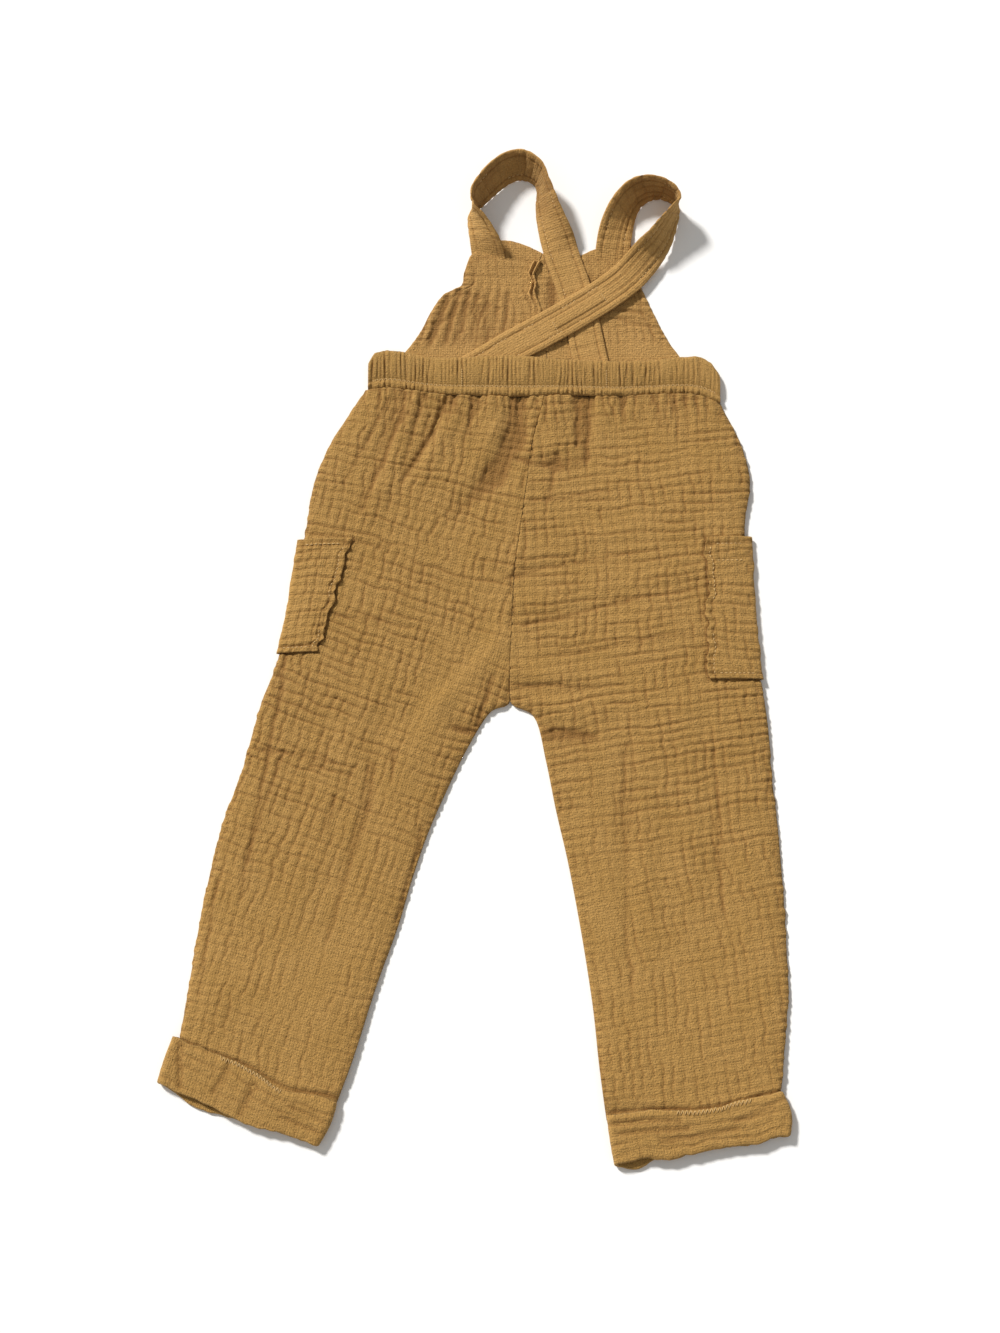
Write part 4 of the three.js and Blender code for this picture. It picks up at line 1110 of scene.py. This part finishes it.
def bib_half(name, side, rows, columns, seed):
    """Stations from the outer edge to the centre seam, each running up from the band to the top edge.

    The height is one layer of cloth, with crinkle, creases, puckers, hems and gathers where it isn't calm.
    """
    u, t = shares(columns, 96)
    x = mix(along(rows["outer_x"], t), along(rows["inner_x"], t), u) + side * SEAM / 2
    start = np.minimum(band_at("low", x) + FRONT_BAND_HEIGHT, band_at("top", x) - 2.5) + SEAM
    crown = along(rows["crown"], t) * np.sin(np.pi * u**0.85)
    notch = smooth(t, 0.85, 1) * bell(u, 0.6, 0.13, -4.5) if side > 0 else 0
    y = mix(along(rows["outer_y"], t), along(rows["inner_y"], t), u) + crown + notch
    y = mix(y, start, (1 - np.clip(t / 0.12, 0, 1)) ** 2)
    relief, painted_shade = crinkle(x + 0.2 * (y - 260), y, seed, across=6.0, down=6.0, cross=0.7)
    creases = fold_height(x + 0.8 * noise(x / 6, y / 6, seed), y, BIB_FOLDS)
    from_side, from_top = u * width_at(rows, t), (1 - t) * 85
    pucker, pucker_valley = seam_puckers(from_side, y, seed, 4.6)
    hem = bell(from_side, 8.5, 0.9, -0.45) + bell(from_top, 6.5, 0.9, -0.4)
    drawn_up = (1 - smooth(x, 20, 38)) * (1 - smooth(y, 270, 288))
    gathers = 0.5 * wave((x - 0.22 * (y - 260)) / 7.6 + 0.4 * noise(y / 26, x / 20, seed))
    gathers = gathers * (0.8 + 0.6 * noise(x / 8, y / 24, seed + 3)) * drawn_up
    calm = bell(x, 10, 16) * bell(y, 300, 11) + bell(x, 98, 15) * bell(y, 297, 9)
    calm = np.clip(1.6 * calm, 0, 1) + bell(x, along(LEFT_BIB["inner_x"], t) - 1.5, 4)
    shape = (0.8 - 0.45 * drawn_up) * relief + 1.8 * creases + 1.4 * pucker + hem + 1.1 * gathers
    shape = np.clip(shape * (1 - np.clip(calm, 0, 1)), -1.1, 0.75)
    above_band = smooth(y, 228, 240)
    z = BIB_TOP + above_band * shape + 1.2 * bell(x, 11, 15) * bell(y, 297, 9)
    z = z - bell(from_side, 0, 1.2, 0.6) - bell(from_top, 0, 1.2, 0.5)
    face = stacked(x, y, np.maximum(z, 0.45))
    back = face[::2, ::2].copy()
    back[..., 2] = 0.02 + 0.1 * np.clip(0.5 - relief[::2, ::2], 0, 1)
    # Painted shade in the crinkle's creases, the puckers, the long creases, the hem grooves and the gathers'
    # hollows.
    deep = 0.8 * painted_shade + pucker_valley + np.clip(-creases, 0, 1) + 0.8 * np.clip(-hem, 0, 1)
    deep = deep + 0.9 * smooth(-gathers, 0.15, 0.5)
    return shell(name, face, back, 2, stacked(x, y), deep * above_band, BIB_GAUZE)


bib_left = bib_half("bib_left", -1, LEFT_BIB, 110, 81)
bib_right = bib_half("bib_right", 1, RIGHT_BIB, 108, 82)


# %% The centre-front seam allowance
def centre_seam():
    """A raised strip up the bib's middle: rings of a low arch whose two overlocked edges are wavy."""
    s, p = np.linspace(0, 1, 141)[:, None], np.linspace(-1, 1, 19)[None, :]
    t = mix(0.1, 0.94, s)
    mid = along(LEFT_BIB["inner_x"], t) - 1.5 + 1.1 * np.sin(17 * s + 2 * s * s) + 0.5 * noise(s * 30, 0.0, 4)
    free = smooth(s, 0.42, 0.56)
    height = mix(0.7, 2.3 + 0.4 * np.sin(21 * s), free)
    half = mix(3.2, 2.6 + 0.5 * np.sin(13 * s + 1), free) + 0.3 * noise(s * 26, 0.0, 9)
    arch = 0.25 + bell(np.abs(p), 0.62, 0.26, 0.85) + 0.15 * noise(s * 44, p * 2, 10)
    x, y = mid + half * p, along(LEFT_BIB["inner_y"], t)
    over = stacked(x, y, CLOTH + 0.7 + height * np.clip(arch, 0.2, 1.15))
    rings = np.concatenate([over, stacked(x, y, CLOTH + 0.45)[:, ::-1]], axis=1)
    # Painted shade along the groove between the allowance's two raised edges.
    groove = bell(p, 0, 0.2, 0.7) + 0 * s
    deep = np.concatenate([groove, 0 * groove], axis=1)
    return ringed("bib_centre_seam", rings, np.concatenate([stacked(x, y)] * 2, axis=1), deep, BIB_GAUZE)


bib_seam = centre_seam()

# %% [markdown]
# ## The straps
# A strap is a strip of gauze folded to 25 mm and topstitched along both edges, 5 mm in. It keeps its
# width as it bends, so it is a ribbon on a route: it stands on its lower edge, turns over at the top of
# the loop and comes back down to the bib. Stitching pulls it into grooves, and the folds inside press
# long lines into the right one.


# %% Straps
def travelled(path):
    """Distance gone along a path at each of its points."""
    return np.concatenate([[0], np.cumsum(np.linalg.norm(np.diff(path, axis=0), axis=1))])


def strap(name, rows, steps, seed, grooves, panel, sunk):
    """Rings along the route: the ribbon's middle, plus and minus half its thickness and its relief.

    Across goes from the floor edge to the raised edge, and normal is forward x across. Grooves are
    (place, width, depth) of lengthways folds that start after the panel. Between the panel's two ends the
    middle is padded out by what is sewn behind it. From nine tenths of its length to sunk it sinks into
    the bib, which it is sewn to. The inside of the loop, where the strap stands up, is shaded a little.
    """
    s = np.linspace(0, 1, steps + 1)
    sink = smooth(s, 0.90, sunk)
    toward, lean = np.radians(along(rows["toward"], s)), np.radians(along(rows["lean"], s))
    across = stacked(np.cos(lean) * np.cos(toward), np.cos(lean) * np.sin(toward), np.sin(lean))
    z = np.maximum(along(rows["lift"], s), 0) + STRAP_THICK / 2 * np.cos(lean)
    edge = stacked(along(rows["floor_x"], s), along(rows["floor_y"], s), mix(z, BIB_TOP - 1.0, sink))
    middle = edge + across * STRAP_WIDTH / 2
    normal = np.cross(np.gradient(middle, axis=0), across)
    normal = normal / np.linalg.norm(normal, axis=1)[:, None]
    after = smooth(s, panel[1], panel[1] + 0.02)[:, None]
    padded = smooth(s, panel[0] - 0.004, panel[0]) * (1 - smooth(s, panel[1], panel[1] + 0.004))
    sink, lean, padded = sink[:, None], np.degrees(lean)[:, None], padded[:, None]
    p = np.linspace(0, 1, 41)[None, :]
    half = STRAP_THICK / 2 * (1 - 0.62 * np.abs(2 * p - 1) ** 9) * mix(1, 0.15, sink)
    run, place, from_edge = travelled(middle)[:, None], p * STRAP_WIDTH, np.minimum(p, 1 - p) * STRAP_WIDTH
    relief, painted_shade = crinkle(place, run, seed, across=6.5, down=7.5, cross=0.8, lengthways=0.5)
    stitch = bell(from_edge + 0.3 * noise(run / 6, place / 9, seed), 5.0, 0.65)
    pull = wave(run / 5.1 + 0.6 * noise(run / 9, place / 12, seed)) * bell(from_edge, 5, 3)
    shape = (0.4 + 0.3 * smooth(lean, 20, 50)) * (1 - 0.6 * padded) * relief - 0.6 * stitch
    shape = shape + bell(from_edge, 2.4, 1.6, 0.25) + 0.2 * pull
    # Painted shade in the crinkle's creases, the stitch grooves, the lengthways folds and beside the padded
    # channel.
    deep = 0.45 * painted_shade + 0.6 * stitch
    for groove, width, depth in grooves:
        line = bell(place + 0.7 * noise(run / 16, groove * 9, seed), groove * STRAP_WIDTH, width)
        line = line * smooth(noise(run / 30, groove * 7, seed), -0.7, 0.2) * after
        shape, deep = shape - depth * line, deep + 0.6 * line
    channel = smooth(place, 8.0, 9.2) * (1 - smooth(place, 15.6, 16.8))
    beside = bell(place, 7.9, 0.8) + bell(place, 16.9, 0.8)
    shape, deep = shape + padded * (0.55 * channel - 0.35 * beside), deep + 0.5 * padded * beside
    shape, ripple = np.clip(shape, -0.8, 0.6) * (1 - sink), 0.16 * noise(run / 11, place / 30, seed + 1)
    flat = edge[:, None] + across[:, None] * place[..., None]
    front = flat + normal[:, None] * (half + shape + ripple)[..., None]
    back = flat - normal[:, None] * (half + shape - ripple)[..., None]
    rings = np.concatenate([front, back[:, ::-1]], axis=1)
    rings[..., 2] = np.maximum(rings[..., 2], 0.02)
    cloth = stacked(place, run)
    # Painted shade on the back face inside the loop, where the strap stands up and turns from the light.
    shaded = deep + (0.5 + 0.3 * noise(run / 7, place / 7, seed + 5)) * smooth(lean, 30, 62)
    deep = np.concatenate([deep, shaded[:, ::-1]], axis=1)
    print(name, "is", round(run[-1, 0]), "mm long")
    piece = ringed(name, rings, np.concatenate([cloth, cloth[:, ::-1]], axis=1), deep, STRAP_GAUZE)
    return piece, front, back, normal


RIGHT_STEPS = 340
TACKED = (0.151, 0.2375)  # where the crossing is sewn, as shares of the right strap's length
NO_PANEL = (-2, -1)
GROOVES = [(0.36, 0.8, 0.40), (0.62, 0.7, 0.35)]
left_strap = strap("strap_left", LEFT_STRAP, 300, 91, [], NO_PANEL, 0.965)
right_strap = strap("strap_right", RIGHT_STRAP, RIGHT_STEPS, 92, GROOVES, TACKED, 1.0)

# %% [markdown]
# ## Stitches
# Each stitch is a short bead of thread that dips into the cloth at both ends. One function lays beads at
# many places at once: it takes where each starts and ends and which way is up, and makes all of them in
# one mesh. Rows of straight stitches hold the straps and pockets, zigzags hold the elastic, and an
# overlock runs along the free edge of each turn-up.


# %% Stitch makers
def stitches(name, starts, ends, ups, width, height=0.34):
    """Beads between starts and ends: five rings of five points, thick in the middle, sunk at the ends."""
    share = np.linspace(0, 1, 5)
    bulge = np.sin(np.pi * np.clip(share, 0.08, 0.92))
    angle = np.linspace(0, 2 * np.pi, 5, endpoint=False)
    direction = ends - starts
    ups = ups / np.linalg.norm(ups, axis=1)[:, None]
    sideways = np.cross(direction / np.linalg.norm(direction, axis=1)[:, None], ups)
    centre = starts[:, None] + direction[:, None] * share[None, :, None]
    centre = centre + ups[:, None] * (height * (bulge - 0.45))[None, :, None]
    round_side, round_up = (part * bulge[:, None] * width / 2 for part in (np.cos(angle), np.sin(angle)))
    points = centre[:, :, None] + round_side[None, ..., None] * sideways[:, None, None]
    points = points + round_up[None, ..., None] * ups[:, None, None]
    index = np.arange(25).reshape(5, 5)
    body = grid_faces(np.column_stack([index, index[:, 0]]))
    caps = np.stack([index[0], index[-1][::-1]])
    offsets = (np.arange(len(starts)) * 25)[:, None, None]
    faces = [(body[None] + offsets).reshape(-1, 4), (caps[None] + offsets).reshape(-1, 5)]
    count = len(starts) * 25
    return make_piece(name, points, faces, np.zeros((count, 2)), np.zeros(count), THREAD, replaces=False)


def read(values, gone, at):
    """The three columns of values at the distances at, where gone is the distance of each row."""
    return np.stack([np.interp(at, gone, values[:, k]) for k in range(3)], axis=-1)


def straight_row(path, up, pitch=3.2, length=2.2, shown=0.0, seed=1):
    """Starts, ends and ups of straight stitches along a path. They show where a noise is over shown."""
    gone = travelled(path)
    up = np.broadcast_to(up, path.shape)
    first = np.arange(0.5, gone[-1] - length, pitch)
    first = first[noise(first / 11, 0.5, seed) > shown]
    return read(path, gone, first), read(path, gone, first + length), read(up, gone, first + length / 2)


UP, ALONG_Y = np.array([0.0, 0.0, 1.0]), np.array([0.0, 1.0, 0.0])


def zigzag(path, wide, pitch):
    """Starts, ends and ups of a zigzag along a path: each stitch crosses from one side to the other."""
    gone = travelled(path)
    at = np.arange(1, gone[-1] - 1, pitch)
    swing = np.where(np.arange(len(at)) % 2 == 0, 0.5, -0.5)[:, None] * wide * ALONG_Y
    points = read(path, gone, at) + swing
    return points[:-1], points[1:], np.tile(UP, (len(points) - 1, 1))


# %% Rows of stitches
rows = []
for (_, front, back, normal), seed in ((left_strap, 5), (right_strap, 9)):
    for place in (8, 32):
        rows.append(straight_row(front[4:-30, place], normal[4:-30], shown=0.1, seed=seed + place))
        rows.append(straight_row(back[4:-30, place], -normal[4:-30], shown=0.1, seed=seed + place + 1))
for place in TACKED:
    ring = round(place * RIGHT_STEPS)
    rows.append(straight_row(right_strap[1][ring, 9:24], right_strap[3][ring], 1.7, 1.3, -1))
for face in (pocket_left_face, pocket_right_face):
    for path in (face[4:-4, 6], face[-6, 6:44], face[5, 6:44]):
        rows.append(straight_row(path + UP * 0.12, UP, shown=-0.25))
rows.append(straight_row(pocket_right_face[17, 6:44] + UP * 0.12, UP, shown=-0.4))
for x in (-9.2, 93.8):  # where the straps' lower ends are caught in the band
    station = np.argmin(np.abs(band_face[:, 0, 0] - x))
    rows.append(straight_row(band_face[station, 5:20] + UP * 0.1, UP, 1.7, 1.4, -1))
topstitching = stitches("topstitching", *(np.concatenate(part) for part in zip(*rows)), width=0.65)
band_zigzag = stitches("band_zigzag", *zigzag(band_face[6:-6, 6] + UP * 0.1, 2.0, 1.7), width=0.42)
rows = []
for edge, leg in ((cuff_left_edge, LEGS["left"]), (cuff_right_edge, LEGS["right"])):
    path = edge[slice(*leg["cuff"]["overlock"])] + UP * 0.25 - ALONG_Y * 0.2
    rows.append(zigzag(path, 3.4, 1.4))
overlock = stitches("turn_up_overlock", *(np.concatenate(part) for part in zip(*rows)), width=0.5)

# %% [markdown]
# ## Cloth facts
# Every sheet of cloth is listed with the size it was cut to. The cut is larger than what lies there,
# because gathers and crinkles take cloth up: about a tenth on the panels and about a third in the
# elastic casing.

# %% Listing the sheets
SHEETS = [
    (back_left, (0.25, 0.52), 0.082, ["front_leg_left"]),
    (back_right, (0.22, 0.52), 0.084, ["front_leg_right"]),
    (front_left, (0.25, 0.52), 0.080, []),
    (front_right, (0.22, 0.52), 0.082, []),
    (pocket_left, (0.11, 0.09), 0.0088, ["back_leg_left"]),
    (pocket_right, (0.10, 0.11), 0.0100, ["back_leg_right"]),
    (cuff_left, (0.25, 0.068), 0.0160, []),
    (cuff_right, (0.25, 0.068), 0.0155, []),
    (back_waistband, (0.34, 0.031), 0.0105, ["front_waistband"]),
    (front_waistband, (0.26, 0.03), 0.0070, []),
    (bib_left, (0.12, 0.10), 0.0078, []),
    (bib_right, (0.12, 0.10), 0.0080, []),
    (bib_seam, (0.012, 0.08), 0.0006, ["bib_left", "bib_right"]),
    (left_strap[0], (0.027, 0.265), 0.0071, ["bib_left"]),
    (right_strap[0], (0.027, 0.305), 0.0081, ["bib_right", "strap_left"]),
]


def one_side(piece):
    """Half of a thin closed skin's area in square metres: the area of the cloth itself."""
    areas = np.empty(len(piece.data.polygons))
    piece.data.polygons.foreach_get("area", areas)
    return areas.sum() / 2


for piece, flat, area, carrier in SHEETS:
    print(f"{piece.name}: {one_side(piece):.4f} of {area:.4f} square metres of flat cloth")

# %% [markdown]
# ## Floor, light and camera
# The garment lies on a plain white surface in daylight from a large window at the upper left: one big
# soft lamp, and a pale sky that fills the shadows. The camera stands almost straight above, ten degrees
# off, where the photographer stood.

# %% The surface it lies on
bpy.ops.mesh.primitive_plane_add(size=6.0, location=(0, 0, 0))
floor = bpy.context.active_object
floor.name = "floor"
paper, tree, shader = new_material("matt_white_paper")
shader.inputs["Base Color"].default_value = linear("#fbfbfa")
shader.inputs["Roughness"].default_value = 0.9
shader.inputs["Specular IOR Level"].default_value = 0.1
floor.data.materials.append(paper)

# %% Light
sun_data = bpy.data.lights.new("window", "SUN")
sun_data.energy = 4.15
sun_data.angle = math.radians(8)
sun_data.color = (1.0, 0.98, 0.96)
sun = bpy.data.objects.new("window", sun_data)
bpy.context.scene.collection.objects.link(sun)
LIGHT_FROM = Vector((-0.62, 0.70, 0.66))  # from the upper left
sun.rotation_mode = "QUATERNION"
sun.rotation_quaternion = LIGHT_FROM.to_track_quat("Z", "Y")
world = bpy.data.worlds.new("soft sky")
world.use_nodes = True
world.node_tree.nodes["Background"].inputs["Color"].default_value = (1.0, 0.985, 0.96, 1.0)
world.node_tree.nodes["Background"].inputs["Strength"].default_value = 0.37
bpy.context.scene.world = world
bpy.context.scene.view_settings.view_transform = "Standard"

# %% Camera
AIM = Vector((0.01742, -0.01715, 0.0))
ELEVATION = math.radians(80)
DISTANCE = 1.4
camera_data = bpy.data.cameras.new("camera")
camera_data.lens = 54.0
camera_data.sensor_width = 36.0
camera = bpy.data.objects.new("camera", camera_data)
bpy.context.scene.collection.objects.link(camera)
back_along_view = Vector((0, -math.cos(ELEVATION), math.sin(ELEVATION)))
camera.location = AIM + back_along_view * DISTANCE
camera.rotation_mode = "QUATERNION"
camera.rotation_quaternion = (-back_along_view).to_track_quat("-Z", "Y")
bpy.context.scene.camera = camera
